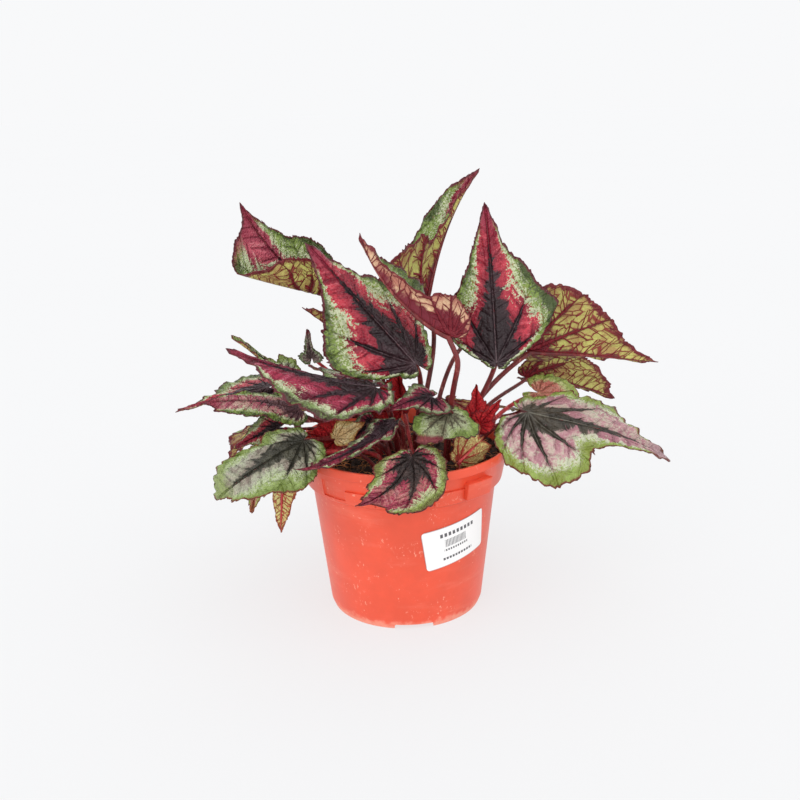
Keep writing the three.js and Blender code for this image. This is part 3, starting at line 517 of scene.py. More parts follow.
def smooth_table(x, xs, ys):
    """The table's value at x, along a smooth curve through its points."""
    xs, ys = np.array(xs, float), np.array(ys, float)
    slopes = np.gradient(ys, xs)
    i = np.clip(np.searchsorted(xs, x, side="right") - 1, 0, len(xs) - 2)
    step = xs[i + 1] - xs[i]
    t = (x - xs[i]) / step
    before = (1 + 2 * t) * (1 - t) ** 2 * ys[i] + t * (1 - t) ** 2 * step * slopes[i]
    after = t * t * (3 - 2 * t) * ys[i + 1] + t * t * (t - 1) * step * slopes[i + 1]
    return before + after


def ripples(flat, random, rate):
    """Gentle waves over a flat sheet, from -1 to 1, that keep a pattern from looking ruled."""
    waves = [(random.uniform(-rate, rate, 2), random.uniform(0, 6.3)) for _ in range(5)]
    return sum(np.sin(flat @ way + start) for way, start in waves) / len(waves)


# ---------------------------------------------------------------- shaders

class Signal:
    """A value in a shader that takes part in sums, so that a pattern reads as a formula."""

    def __init__(self, shader, socket):
        self.shader = shader
        self.socket = socket

    def __add__(self, other):
        return self.shader.math("ADD", self, other)

    def __mul__(self, other):
        return self.shader.math("MULTIPLY", self, other)

    def __sub__(self, other):
        return self.shader.math("SUBTRACT", self, other)

    def __rsub__(self, other):
        return self.shader.math("SUBTRACT", other, self)

    def __truediv__(self, other):
        return self.shader.math("DIVIDE", self, other)

    def __pow__(self, power):
        return self.shader.math("POWER", self, power)

    __radd__ = __add__
    __rmul__ = __mul__


class Shader:
    """A new material, whose nodes are added one call at a time."""

    def __init__(self, name, roughness=0.5, **uniform):
        self.material = bpy.data.materials.new(name)
        self.material.use_nodes = True
        self.tree = self.material.node_tree
        self.surface = self.tree.nodes["Principled BSDF"]
        self.surface.inputs["Roughness"].default_value = roughness
        for socket, value in uniform.items():
            name_shown = socket.replace("_", " ").title().replace("Ior", "IOR")
            self.surface.inputs[name_shown].default_value = value

    def node(self, kind, **settings):
        node = self.tree.nodes.new(kind)
        for name, value in settings.items():
            setattr(node, name, value)
        return node

    def plug(self, value, socket):
        if isinstance(value, Signal):
            self.tree.links.new(value.socket, socket)
        elif isinstance(value, (tuple, list)) and socket.type == "RGBA":
            socket.default_value = (*value, 1)
        else:
            socket.default_value = value

    def math(self, operation, *values):
        node = self.node("ShaderNodeMath", operation=operation)
        for value, socket in zip(values, node.inputs):
            self.plug(value, socket)
        return Signal(self, node.outputs[0])

    def object_point(self):
        return Signal(self, self.node("ShaderNodeTexCoord").outputs["Object"])

    def uv(self, name):
        return Signal(self, self.node("ShaderNodeUVMap", uv_map=name).outputs["UV"])

    def split(self, vector):
        node = self.node("ShaderNodeSeparateXYZ")
        self.plug(vector, node.inputs[0])
        return [Signal(self, socket) for socket in node.outputs]

    def combine(self, *values):
        node = self.node("ShaderNodeCombineXYZ")
        for value, socket in zip(values, node.inputs):
            self.plug(value, socket)
        return Signal(self, node.outputs[0])

    def stretch(self, vector, scale):
        node = self.node("ShaderNodeMapping")
        self.plug(vector, node.inputs["Vector"])
        node.inputs["Scale"].default_value = scale
        return Signal(self, node.outputs[0])

    def noise(self, vector, scale, detail=2.0, roughness=0.5):
        node = self.node("ShaderNodeTexNoise")
        self.plug(vector, node.inputs["Vector"])
        node.inputs["Scale"].default_value = scale
        node.inputs["Detail"].default_value = detail
        node.inputs["Roughness"].default_value = roughness
        return Signal(self, node.outputs[0])

    def grain(self, vector, scale, strength, detail=2.0, roughness=0.5):
        """Noise that swings evenly about zero."""
        noise = self.noise(vector, scale, detail, roughness)
        return self.math("MULTIPLY_ADD", noise, 2 * strength, -strength)

    def cells(self, vector, scale, feature="DISTANCE_TO_EDGE"):
        node = self.node("ShaderNodeTexVoronoi", feature=feature)
        self.plug(vector, node.inputs["Vector"])
        node.inputs["Scale"].default_value = scale
        return Signal(self, node.outputs["Distance"])

    def rise(self, value, low, high, start=0.0, end=1.0):
        """A smooth step of a value, from start at low to end at high."""
        node = self.node("ShaderNodeMapRange", interpolation_type="SMOOTHSTEP")
        for given, socket in zip((value, low, high, start, end), node.inputs):
            self.plug(given, socket)
        return Signal(self, node.outputs[0])

    def most(self, first, second):
        return self.math("MAXIMUM", first, second)

    def blend(self, factor, first, second, mode="MIX"):
        node = self.node("ShaderNodeMix", data_type="RGBA", blend_type=mode)
        self.plug(factor, node.inputs[0])
        self.plug(first, node.inputs[6])
        self.plug(second, node.inputs[7])
        return Signal(self, node.outputs[2])

    def bump(self, height, distance, strength=1.0):
        node = self.node("ShaderNodeBump")
        node.inputs["Distance"].default_value = distance
        node.inputs["Strength"].default_value = strength
        self.plug(height, node.inputs["Height"])
        self.tree.links.new(node.outputs[0], self.surface.inputs["Normal"])

    def colour(self, value):
        self.plug(value, self.surface.inputs["Base Color"])
        return self.material


def vein_signals(shader):
    """Where a point of a blade lies: its share of the way out and its distance from the veins."""
    phase, share, _ = shader.split(shader.uv("polar"))
    x, y, _ = shader.split(shader.uv("flat"))
    zone, seed, _ = shader.split(shader.uv("zone"))
    drift, _, _ = shader.split(shader.uv("drift"))
    place = shader.combine(x, y, seed)
    radius = shader.math("SQRT", x * x + y * y)
    offset = phase - shader.math("ROUND", phase)
    between = shader.math("ABSOLUTE", offset) * 2
    main = between * (math.radians(MAIN_VEIN_STEP) / 2) * radius
    left = shader.math("GREATER_THAN", offset, 0.0)
    run = (radius - main * 0.75) / SIDE_VEIN_STEP + drift + left * 0.5
    side = shader.math("PINGPONG", run, 0.5) * (SIDE_VEIN_STEP * 0.8)
    grain_place = shader.combine(run * 2.4, radius * 3.2, seed + left)
    return dict(phase=phase, share=share, x=x, y=y, zone=zone, place=place, radius=radius,
                between=between, main=main, side=side, run=run, cell_row=seed + left * 7.3,
                along_veins=grain_place)


def upper_material(name, look):
    """The blade's upper side: a dark star, a coloured band, silver, green and a dark margin."""
    shader = Shader(name, roughness=0.43, specular_ior_level=0.38)
    at = vein_signals(shader)
    place, zone, share = at["place"], at["zone"], at["share"]
    main, side = at["main"], at["side"]
    streak = shader.grain(at["along_veins"], 1.0, 1.0, detail=3, roughness=0.65)
    fleck = shader.grain(place, look["grain"], 1.0, detail=4, roughness=0.7)
    grit = shader.grain(place, 95, 1.0, detail=2, roughness=0.6)
    patch = shader.grain(place, 6, 1.0, detail=2)
    near_main = 1 - at["between"]
    near_side = 1 - side / (SIDE_VEIN_STEP * 0.4)
    is_midrib = shader.math("LESS_THAN", shader.math("ABSOLUTE", at["phase"]), 0.5)

    tone = streak * 0.6 + fleck * 0.5 + patch * 0.5 + at["between"] * 0.35
    band = shader.blend(shader.rise(tone, -0.10, 0.36), look["band_deep"], look["band"])
    # Painted sheen: paler pink streaks along the veins stand in for highlights on the band.
    painted_sheen = shader.rise(streak * 1.2 + grit * 0.8, 0.12, 0.50, 0, 0.8)
    band = shader.blend(painted_sheen, band, look["band_sheen"])
    main_line = shader.rise(main + fleck * 0.006, 0.002, 0.011, 1, 0)
    side_line = shader.rise(side + fleck * 0.006, 0.0, 0.009, 0.45, 0)
    lines = shader.most(main_line, side_line)
    band = shader.blend(lines * shader.rise(zone, 0.45, 0.90, 0.9, 0.2), band, look["band_vein"])

    spear = (1 - at["x"] / look["star_along"]) * look["star_width"]
    spear = spear - shader.math("ABSOLUTE", at["y"]) + shader.math("MINIMUM", at["x"] * 3, 0.0)
    heart = (look["star_reach"] + near_main**3 * look["star_flame"] - share) * 0.45
    fringe = near_side**2 * 0.030 + streak * 0.10 + fleck * 0.040 + grit * 0.015 + patch * 0.03
    inside = shader.most(spear, heart) + fringe - 0.012
    # Painted sheen: the dark star is blended in patches towards a lighter colour that stands in for its
    # soft grey highlights.
    star = shader.blend(shader.rise(streak * 0.5 + patch * 0.8, -0.15, 0.35),
                        look["star"], look["star_sheen"])
    is_star = shader.rise(inside, -0.012, 0.016)
    near_star = shader.rise(inside, -0.075, 0.0, 0, 0.55)
    colour = shader.blend(near_star, band, look["band_deep"])
    colour = shader.blend(is_star, colour, star)
    rib_line = shader.rise(main, 0.0015, 0.005, 1, 0) * (is_midrib * 0.45 + 0.25)
    rib_line = rib_line * shader.rise(at["radius"], 0.25, 0.50, 1, 0)
    colour = shader.blend(rib_line, colour, look["midrib"])

    if look["mottle"]:
        frost = shader.rise(fleck + patch * 0.7 + streak * 0.4 + grit * 0.5, -0.15, 0.25)
        colour = shader.blend(frost * (1 - is_star) * look["mottle"], colour, look["silver"])
    edge_wave = streak * 0.22 + fleck * 0.20 + grit * 0.16 + patch * 0.10
    reach = zone + edge_wave - near_main**3 * 0.08
    into_silver = shader.rise(reach, look["silver_from"] - 0.022, look["silver_from"] + 0.022)
    outwards = shader.rise(zone, look["silver_from"], 1.0, 0.12, -0.34)
    silver_tone = shader.rise(streak * 0.7 + fleck * 0.9 + grit * 1.1 + outwards, -0.14, 0.16)
    deep_green = shader.rise(patch * 0.7 + fleck * 0.7 + grit * 0.5 - outwards * 0.9, 0.0, 0.34)
    green = shader.blend(deep_green, look["green"], look["dark"])
    silver = shader.blend(silver_tone, green, look["silver"])
    silver = shader.blend(side_line * 0.6, silver, look["dark"])
    colour = shader.blend(into_silver, colour, silver)
    dots = shader.rise(shader.cells(place, 34, "F1"), 0.12, 0.20, 0.85, 0) * into_silver
    dots = dots * shader.rise(patch + streak * 0.6, 0.0, 0.2)
    colour = shader.blend(dots, colour, look["band_deep"])

    reach = zone + fleck * 0.12 + grit * 0.06 + patch * 0.10
    into_green = shader.rise(reach, look["green_from"] - 0.04, look["green_from"] + 0.05, 0, 0.85)
    colour = shader.blend(into_green, colour, green)
    into_dark = shader.rise(reach, look["dark_from"] - 0.03, look["dark_from"] + 0.04, 0, 0.9)
    colour = shader.blend(into_dark, colour, look["dark"])
    tip = shader.rise(at["x"] + fleck * 0.08 + streak * 0.06, 0.76, 0.90, 0, 0.92)
    colour = shader.blend(tip, colour, look["tip"])
    rim = shader.rise(share + fleck * 0.020 + grit * 0.010, 0.962, 0.982)
    colour = shader.blend(rim, colour, look["edge"])

    pebble = shader.rise(shader.cells(place, 52, "F1"), 0.0, 0.7, 1, 0)
    relief = shader.rise(main, 0.0, 0.018) + shader.rise(side, 0.0, 0.014) * 0.7
    shader.bump(relief + pebble * 0.6 + fleck * 0.2, 0.0011, 0.9)
    return shader.colour(colour)


def under_material(name, look):
    """The blade's underside: pale cells between raised red veins, and a red root and margin."""
    shader = Shader(name, roughness=0.5, specular_ior_level=0.35)
    at = vein_signals(shader)
    place, main, side, share = at["place"], at["main"], at["side"], at["share"]
    fleck = shader.grain(place, 40, 1.0, detail=3, roughness=0.7)
    patch = shader.grain(place, 7, 1.0, detail=2)
    net_place = shader.combine(at["run"] * 1.35 + patch * 0.3, main * 10 + fleck * 0.10, at["cell_row"])
    net = shader.cells(net_place, 1.0)

    cell = shader.blend(shader.rise(patch + fleck * 0.6, -0.3, 0.3), look["cell_dull"], look["cell"])
    near_net = shader.rise(net, 0.02, 0.22, 0.55, 0)
    colour = shader.blend(near_net, cell, look["cell_dull"])
    fine_line = shader.rise(shader.cells(place, 44), 0.02, 0.09, 0.20, 0)
    colour = shader.blend(fine_line, colour, look["vein"])

    reach = shader.rise(share, 0.0, 0.9, 0.080, 0.010)
    keel = shader.rise(main + patch * 0.04 + fleck * 0.02, reach * 0.3, reach, 0.9, 0)
    colour = shader.blend(keel, colour, look["root"])
    root = share + patch * 0.24 + fleck * 0.14 + net * 0.25
    colour = shader.blend(shader.rise(root, look["root_to"] - 0.10, look["root_to"] + 0.08, 1, 0),
                          colour, look["root"])

    width = shader.rise(share, 0.0, 1.0, 0.022, 0.0065)
    main_line = shader.rise((main + fleck * 0.003) / width, 0.45, 0.85, 1, 0)
    side_line = shader.rise((side + fleck * 0.003) / width, 0.20, 0.50, 1, 0)
    net_line = shader.rise(net, 0.020, 0.058, 0.9, 0)
    lines = shader.most(shader.most(main_line, side_line), net_line)
    colour = shader.blend(lines, colour, look["vein"])
    margin = shader.rise(share + fleck * 0.10 + patch * 0.08, 0.91, 0.97)
    colour = shader.blend(margin, colour, look["under_edge"])
    relief = main_line + side_line * 0.6 + net_line * 0.4 + near_net * 0.3
    shader.bump(relief + fleck * 0.15, 0.0012, 0.9)
    return shader.colour(colour)


def edge_material(name, look):
    """The cut edge of a blade."""
    shader = Shader(name, roughness=0.6)
    point = shader.object_point()
    return shader.colour(shader.blend(shader.noise(point, 900, 2), look["edge"], look["under_edge"]))


def stalk_material(name, colour, pale):
    """A juicy stalk: red-brown, with paler length-wise flecks."""
    shader = Shader(name, roughness=0.42)
    point = shader.stretch(shader.object_point(), (1, 1, 0.3))
    tone = shader.noise(point, 260, 3, 0.6)
    shader.bump(shader.noise(point, 1200, 2), 0.0002, 0.5)
    dark = tuple(value * 0.45 for value in colour)
    mixed = shader.blend(shader.rise(tone, 0.3, 0.6), dark, colour)
    return shader.colour(shader.blend(shader.rise(tone, 0.58, 0.70, 0, 0.7), mixed, pale))


def hair_material(name, colour):
    shader = Shader(name, roughness=0.4)
    point = shader.object_point()
    return shader.colour(shader.blend(shader.noise(point, 400, 1), colour, paint(244, 176, 172)))


# ---------------------------------------------------------------- the leaf's form

def outline_radius(leaf, degrees):
    """The margin's distance from the stalk's joint, as a share of the blade's length."""
    away = np.abs(degrees)
    is_left = degrees > 0

    def sided(key):
        left, right = leaf.get(key, (1, 1))
        return np.where(is_left, left, right)

    radius = smooth_table(away, OUTLINE_DEGREES, OUTLINE_RADII)
    radius = radius * (1 + (sided("wide") - 1) * smoothstep(0, 28, away))
    radius = radius * (1 + (sided("lobe") - 1) * smoothstep(42, 90, away))
    tail = smoothstep(1, 8, away) * (1 - smoothstep(16, 34, away))
    radius = radius * (1 + (sided("tail") - 1) * tail)
    for middle, half_width, height in leaf.get("bumps", ()):
        swell = np.maximum(1 - ((degrees - middle) / half_width) ** 2, 0) ** 1.5
        radius = radius * (1 + height * swell)
    return radius


def rib_table(leaf):
    """The midrib's run from the stalk: points and slopes at even steps of its length."""
    droop = math.radians(leaf.get("droop", 20))
    hook = math.radians(leaf.get("hook", 0))
    rise = math.radians(leaf.get("lobe_rise", leaf.get("droop", 20) * 0.4))
    steps = np.linspace(-0.6, 1.05, 67)
    slope = np.where(steps > 0, -(droop * steps + hook * steps**2), -rise * steps)

    def run(part):
        total = np.concatenate([[0], np.cumsum((part[1:] + part[:-1]) / 2 * np.diff(steps))])
        return total - np.interp(0, steps, total)

    return steps, run(np.cos(slope)), run(np.sin(slope)), slope


def sheet(leaf, rib, degrees, share, stretch=0.0, relief=0.0):
    """Points of the blade's middle sheet, with its length as the unit: x along the midrib,
    y to the left, z to the upper side. Also the same points laid flat."""
    angle = np.radians(degrees)
    radius = outline_radius(leaf, degrees) * share * (1 + stretch)
    x, y = radius * np.cos(angle), radius * np.sin(angle)
    flat = np.stack([x, y], -1)
    y = y + leaf.get("sickle", 0) * np.maximum(x, 0) ** 2
    lift = np.zeros_like(x)
    if "crease" in leaf:
        along, bend, bend_radius = leaf["crease"]
        along, bend = math.radians(along), math.radians(bend)
        across_x, across_y = -math.sin(along), math.cos(along)
        past = x * across_x + y * across_y
        turn = np.clip(past / bend_radius, 0, bend)
        rest = np.maximum(past - bend_radius * bend, 0)
        reach = bend_radius * np.sin(turn) + rest * math.cos(bend)
        moved = np.where(past > 0, reach - past, 0)
        lift = np.where(past > 0, bend_radius * (1 - np.cos(turn)) + rest * math.sin(bend), 0)
        x, y = x + moved * across_x, y + moved * across_y
    is_left = y > 0
    side = np.where(is_left, 1, -1)
    out = np.abs(y)
    fold_left, fold_right = leaf.get("fold", (0, 0))
    curl_left, curl_right = leaf.get("curl", (0, 0))
    fold = np.radians(np.where(is_left, fold_left, fold_right)) * smoothstep(0, 0.05, out)
    curl = np.radians(np.where(is_left, curl_left, curl_right)) * 2
    curl = np.where(curl == 0, 1e-4, curl)
    across = (np.sin(fold + curl * out) - np.sin(fold)) / curl
    up = (np.cos(fold) - np.cos(fold + curl * out)) / curl
    across = side * (across - (lift + relief) * np.sin(fold + curl * out))
    up = up + (lift + relief) * np.cos(fold + curl * out)
    up = up + leaf.get("wave", 0) * share**2.5 * np.sin(2 * leaf.get("waves", 4) * angle)
    turn = math.radians(leaf.get("twist", 0)) * x
    across, up = (across * np.cos(turn) - up * np.sin(turn),
                  across * np.sin(turn) + up * np.cos(turn))
    steps, rib_x, rib_z, slopes = rib
    slope = np.interp(x, steps, slopes)
    points = np.stack([np.interp(x, steps, rib_x) - np.sin(slope) * up, across,
                       np.interp(x, steps, rib_z) + np.cos(slope) * up], -1)
    return points, flat


def basis(forward, upward):
    x = unit(forward)
    z = unit(upward - x * (upward @ x))
    return np.stack([x, np.cross(z, x), z], axis=1)


class Placed:
    """A leaf with its midrib and its place: it turns blade coordinates into points in space."""

    def __init__(self, leaf, seed):
        self.leaf = leaf
        self.scallop = {**CRIMSON, **LOOKS[leaf.get("look", "crimson")]}["scallop"]
        self.rib = rib_table(leaf)
        self.random = np.random.default_rng(seed)
        self.base = np.array(leaf["base"])
        tip = sheet(leaf, self.rib, np.zeros(1), np.ones(1))[0][0]
        chord = np.array(leaf["tip"]) - self.base
        self.length = np.linalg.norm(chord) / np.linalg.norm(tip)
        own = basis(tip, np.array([0.0, 0.0, 1.0]))
        self.turn = basis(chord, np.array(leaf["face"], float)) @ own.T

    def points(self, degrees, share, stretch=0.0, relief=0.0):
        local, flat = sheet(self.leaf, self.rib, degrees, share, stretch, relief)
        return self.base + local @ self.turn.T * self.length, flat

    def under_rib(self, share, drop):
        """A point under the midrib and the directions there, forwards and to the upper side."""
        pair = self.points(np.zeros(2), np.array([share, share + 0.05]))[0]
        forward = unit(pair[1] - pair[0])
        upward = np.cross(forward, self.turn @ np.array([0.0, 1.0, 0.0]))
        return pair[0] - upward * drop, forward, upward


def margin_angles(leaf, sectors):
    """Angles that lie evenly along the margin, with one on the tip."""
    halves = []
    for side in (-1, 1):
        degrees = side * np.linspace(0, BLADE_SPAN, 1200)
        radius = outline_radius(leaf, degrees)
        angle = np.radians(degrees)
        margin = np.stack([radius * np.cos(angle), radius * np.sin(angle)], -1)
        run = np.concatenate([[0], np.cumsum(np.linalg.norm(np.diff(margin, axis=0), axis=1))])
        even = np.linspace(0, run[-1], sectors // 2 + 1)
        halves.append((np.interp(even, run, degrees), -side * even))
    degrees = np.concatenate([halves[1][0][::-1], halves[0][0][1:]])
    run = np.concatenate([halves[1][1][::-1], halves[0][1][1:]])
    return degrees, run


def margin_teeth(run, length, random, settings, scallop):
    """How far the margin stands out at each run along it, as a share of the blade's length."""
    metres = run * length
    wobble = sum(np.sin(metres * k * 900 + random.uniform(0, 6.3)) / k for k in (1, 1.7, 2.9))
    phase = metres / settings.tooth_step + 0.35 * wobble
    coarse = 1 - 2 * np.abs(phase % 1 - 0.5)
    fine = 1 - 2 * np.abs((phase * 2.3) % 1 - 0.5)
    size = 0.7 + 0.3 * np.sin(metres * 310 + random.uniform(0, 6.3))
    depth = settings.tooth * size * ((coarse - 0.5) + 0.5 * (fine - 0.5))
    swing = metres / settings.scallop_step * 2 * math.pi + random.uniform(0, 6.3)
    swing = swing + 1.1 * np.sin(metres * 95 + random.uniform(0, 6.3))
    depth = depth + scallop * (np.abs(np.sin(swing / 2)) - 0.6)
    return depth / length * smoothstep(0, 0.06, np.abs(run))


def vein_relief(phase, drift, share, flat):
    """The quilted surface: sunk veins and bulging panes, from -1 to about 0.5."""
    radius = np.hypot(flat[:, 0], flat[:, 1])
    offset = phase - np.round(phase)
    main = np.abs(offset) * math.radians(MAIN_VEIN_STEP) * radius
    run = (radius - 0.75 * main) / SIDE_VEIN_STEP + drift + 0.5 * (offset > 0)
    side = np.abs(run - np.round(run)) * SIDE_VEIN_STEP * 0.8
    sunk = np.exp(-((main / 0.016) ** 2)) + 0.5 * np.exp(-((side / 0.012) ** 2))
    return (0.4 - sunk) * smoothstep(0, 0.15, radius) * (1 - 0.6 * smoothstep(0.8, 1, share))


def lateral_zone(flat, margin, share):
    """How near a point is to the margin: its share of the way out, and towards the tip its
    share of the blade's own half width there, so that bands run alongside a long tip."""
    zone = share.copy()
    for side in (-1, 1):
        edge = margin[np.sign(margin[:, 1]) == side]
        order = np.argsort(edge[:, 0])
        half_width = np.interp(flat[:, 0], edge[order, 0], np.abs(edge[order, 1]))
        near_tip = smoothstep(0.40, 0.75, flat[:, 0]) * (np.sign(flat[:, 1]) == side)
        crossways = np.clip(np.abs(flat[:, 1]) / np.maximum(half_width, 0.004), 0, 1)
        zone = zone + near_tip * (np.minimum(crossways, share) - share)
    midline = (np.abs(flat[:, 1]) < 1e-9) & (flat[:, 0] > 0.75)
    return np.where(midline, 0, zone)


def soil_top(x, y):
    """The height of the soil's surface."""
    r = math.hypot(x, y) / (COLLAR_TOP_RADIUS - WALL)
    lumps = math.sin(x / MM * 0.19 + 1) * math.cos(y / MM * 0.16)
    lumps += 0.6 * math.sin(x / MM * 0.37 - y / MM * 0.31)
    return SOIL_EDGE + SOIL_CROWN * (1 - r * r) + SOIL_LUMP * lumps * (1 - r**4)


def blade_object(placed, settings, materials):
    """The blade: a grid laid out in polar form, closed at the stalk and given its thickness."""
    leaf, random = placed.leaf, placed.random
    sectors, rings = BLADE_GRID[leaf["size"]]
    angles, runs = margin_angles(leaf, sectors)
    teeth = margin_teeth(runs, placed.length, random, settings, placed.scallop)
    blade = primitive("grid", x_subdivisions=sectors, y_subdivisions=rings, size=2)
    grid = points_of(blade)
    column = np.rint((grid[:, 0] + 1) / 2 * sectors).astype(int)
    share = np.clip((grid[:, 1] + 1) / 2, 0, 1)
    degrees = angles[column]
    flat = sheet(leaf, placed.rib, degrees, share)[1]
    phase = degrees / MAIN_VEIN_STEP * (1 + 0.15 * share)
    phase = phase + 0.12 * ripples(flat, random, 9) * smoothstep(0, 14, np.abs(degrees))
    drift = 0.45 * ripples(flat, random, 14)
    metres = runs[column] * placed.length
    ruffle = sum(np.sin(metres * rate + random.uniform(0, 6.3)) * size
                 for rate, size in ((260, 0.6), (470, 0.5), (910, 0.3)))
    relief = settings.ruffle / placed.length * ruffle * share**5
    relief = relief + settings.quilt / placed.length * vein_relief(phase, drift, share, flat)
    relief = relief * smoothstep(0, 0.1, share)
    stretch = teeth[column] / outline_radius(leaf, degrees) * smoothstep(0.90, 1, share)
    points, flat = placed.points(degrees, share, stretch, relief)
    set_points(blade, points)
    margin = flat[share > 0.9999]
    seed = np.full(len(share), random.uniform(0, 40))
    maps = {
        "polar": (phase, share),
        "flat": (flat[:, 0], flat[:, 1]),
        "zone": (lateral_zone(flat, margin, share), seed),
        "drift": (drift, seed),
    }
    while blade.data.uv_layers:
        blade.data.uv_layers.remove(blade.data.uv_layers[0])
    for name, values in maps.items():
        write_uv(blade, blade.data.uv_layers.new(name=name), values)
    edit_all(blade, merge_doubles)
    give_material(blade, *materials)
    apply_modifier(blade, "SOLIDIFY", thickness=settings.thickness, offset=0,
                   material_offset=1, material_offset_rim=2, use_even_offset=False)
    select_only(blade)
    bpy.ops.object.shade_smooth()
    return blade


def lean_of(leaf):
    """The way a stalk leaves the soil: up, and a little towards its blade."""
    foot, base = leaf["foot"], leaf["base"]
    out = unit(np.array([base[0] - foot[0], base[1] - foot[1], 0.0]))
    return unit(np.array([0.0, 0.0, 1.0]) + out * leaf.get("lean", 0.35))


def stalk_route(placed):
    """The stalk's line from the soil to the blade and on under its midrib, with its radii."""
    leaf = placed.leaf
    thick = STALK_RADIUS[leaf["size"]]
    lean = lean_of(leaf)
    mouth = np.array([*leaf["foot"], soil_top(*leaf["foot"])])
    foot = mouth - lean * STALK_DEPTH
    collar = mouth + lean * 0.003
    start, forward, upward = placed.under_rib(0.01, thick * 0.85 + 0.0001)
    reach = np.linalg.norm(start - collar)
    arrive = unit(forward + upward * 0.8)
    first = collar + lean * reach * leaf.get("rise", 0.35)
    second = start - arrive * reach * 0.3
    route, radii = [foot], [thick * 1.05]
    for t in np.linspace(0, 1, 26):
        route.append(collar * (1 - t) ** 3 + 3 * first * t * (1 - t) ** 2
                     + 3 * second * t * t * (1 - t) + start * t**3)
        radii.append(thick * (1.05 - 0.2 * t))
    for share in np.linspace(0.05, 0.93, 20):
        radius = thick * (0.85 * (1 - share) ** 1.2 * 0.9 + 0.10)
        cover = RIB_COVER * smoothstep(0, 0.1, share) + 0.0001
        route.append(placed.under_rib(share, radius + cover)[0])
        radii.append(radius)
    return np.array(route), np.array(radii)


def tube_object(route, radii, sides=10):
    """A tube along a line, with rounded ends."""
    deselect_all()
    bpy.ops.curve.primitive_bezier_curve_add()
    curve = bpy.context.object
    curve.data.splines.clear()
    spline = curve.data.splines.new("POLY")
    spline.points.add(len(route) - 1)
    for point, place, radius in zip(spline.points, route, radii):
        point.co = (*place, 1)
        point.radius = radius
    curve.data.dimensions = "3D"
    curve.data.bevel_depth = 1.0
    curve.data.bevel_resolution = max(0, sides // 2 - 2)
    curve.data.use_fill_caps = True
    bpy.ops.object.convert(target="MESH")
    tube = bpy.context.object
    edit_all(tube, merge_doubles, face_outwards)
    select_only(tube)
    bpy.ops.object.shade_smooth()
    return tube


def hair_object(roots, directions, length, random):
    """Fine three-sided hairs, each a slim cone that stands on its root."""
    points, faces = [], []
    for root, direction in zip(roots, directions):
        direction = unit(direction + random.normal(0, 0.25, 3))
        aside = unit(np.cross(direction, [0.3, 0.5, 0.8]))
        other = np.cross(direction, aside)
        first = len(points)
        for turn in (0, 2.1, 4.2):
            points.append(root + HAIR_RADIUS * (aside * math.cos(turn) + other * math.sin(turn)))
        points.append(root + direction * length * random.uniform(0.5, 1.2))
        faces += [(first, first + 1, first + 3), (first + 1, first + 2, first + 3),
                  (first + 2, first, first + 3), (first + 2, first + 1, first)]
    return mesh_object("hair", points, faces)


def stalk_hairs(placed, route, radii, settings, count):
    """Hairs all round the free part of a stalk."""
    random = placed.random
    free = slice(2, 27)
    line, thick = route[free], radii[free]
    roots, directions = [], []
    for _ in range(count):
        spot = random.uniform(0, len(line) - 1.001)
        i = int(spot)
        middle = line[i] + (line[i + 1] - line[i]) * (spot - i)
        along = unit(line[i + 1] - line[i])
        out = unit(np.cross(along, random.normal(0, 1, 3)))
        roots.append(middle + out * thick[i] * 0.9)
        directions.append(out)
    young = placed.leaf.get("look") == "young"
    return hair_object(roots, directions, settings.hair * (1.5 if young else 1), random)


def leaf_object(leaf, seed, settings, materials):
    """One leaf: its blade, its stalk with the midrib, and the hairs on the stalk."""
    placed = Placed(leaf, seed)
    young = leaf.get("look") == "young"
    blade = blade_object(placed, settings, materials[:3])
    route, radii = stalk_route(placed)
    stalk = tube_object(route, radii)
    give_material(stalk, materials[3])
    hairs = stalk_hairs(placed, route, radii, settings, 300 if young else 120)
    give_material(hairs, materials[4])
    return join(blade, [stalk, hairs])


# ---------------------------------------------------------------- operators

class BeginsEmpty:
    """What every operator of the plant shares."""

    bl_options = {"REGISTER", "UNDO"}

    @property
    def settings(self):
        return bpy.context.scene.begonia


def shaded(look, shade):
    """A look with its colours as shaders take them, and all a little darker or lighter."""
    return {name: tuple(part * shade for part in paint(*value)) if isinstance(value, tuple) else value
            for name, value in look.items()}


def grow(leaves, settings):
    """Builds leaves and hands each in for its solid. Leaves of one look share their materials."""
    ready = {}
    for leaf in leaves:
        kind = leaf.get("look", "crimson")
        if kind not in ready:
            look = shaded({**CRIMSON, **LOOKS[kind]}, settings.shade)
            is_young = kind in ("young", "salmon", "greyed")
            stalk = tuple(settings.young_stalk if is_young else settings.stalk)
            ready[kind] = (
                upper_material(f"{kind}_upper_side", look),
                under_material(f"{kind}_underside", look),
                edge_material(f"{kind}_margin", look),
                stalk_material(f"{kind}_stalk", stalk, paint(186, 120, 104)),
                hair_material(f"{kind}_hair", stalk),
            )
        seed = 100 + [entry["node"] for entry in LEAVES].index(leaf["node"])
        piece = leaf_object(leaf, seed, settings, ready[kind])
        hand_in(piece, "grown_" + leaf["node"], leaf["node"])


class BEGONIA_OT_leaves(BeginsEmpty, bpy.types.Operator):
    """Grow the grown-up leaves with their stalks"""

    bl_idname = "begonia.leaves"
    bl_label = "Leaves"

    def execute(self, context):
        grow([leaf for leaf in LEAVES if leaf.get("look") not in SLOTS], self.settings.leaves)
        return {"FINISHED"}


class BEGONIA_OT_young_leaves(BeginsEmpty, bpy.types.Operator):
    """Grow the young red leaves in the middle of the plant"""

    bl_idname = "begonia.young_leaves"
    bl_label = "Young leaves"

    def execute(self, context):
        grow([leaf for leaf in LEAVES if leaf.get("look") == "young"], self.settings.leaves)
        return {"FINISHED"}


class BEGONIA_OT_dry_leaf(BeginsEmpty, bpy.types.Operator):
    """Lay the dry leaf on the soil"""

    bl_idname = "begonia.dry_leaf"
    bl_label = "Dry leaf"

    def execute(self, context):
        grow([leaf for leaf in LEAVES if leaf.get("look") == "dry"], self.settings.leaves)
        return {"FINISHED"}


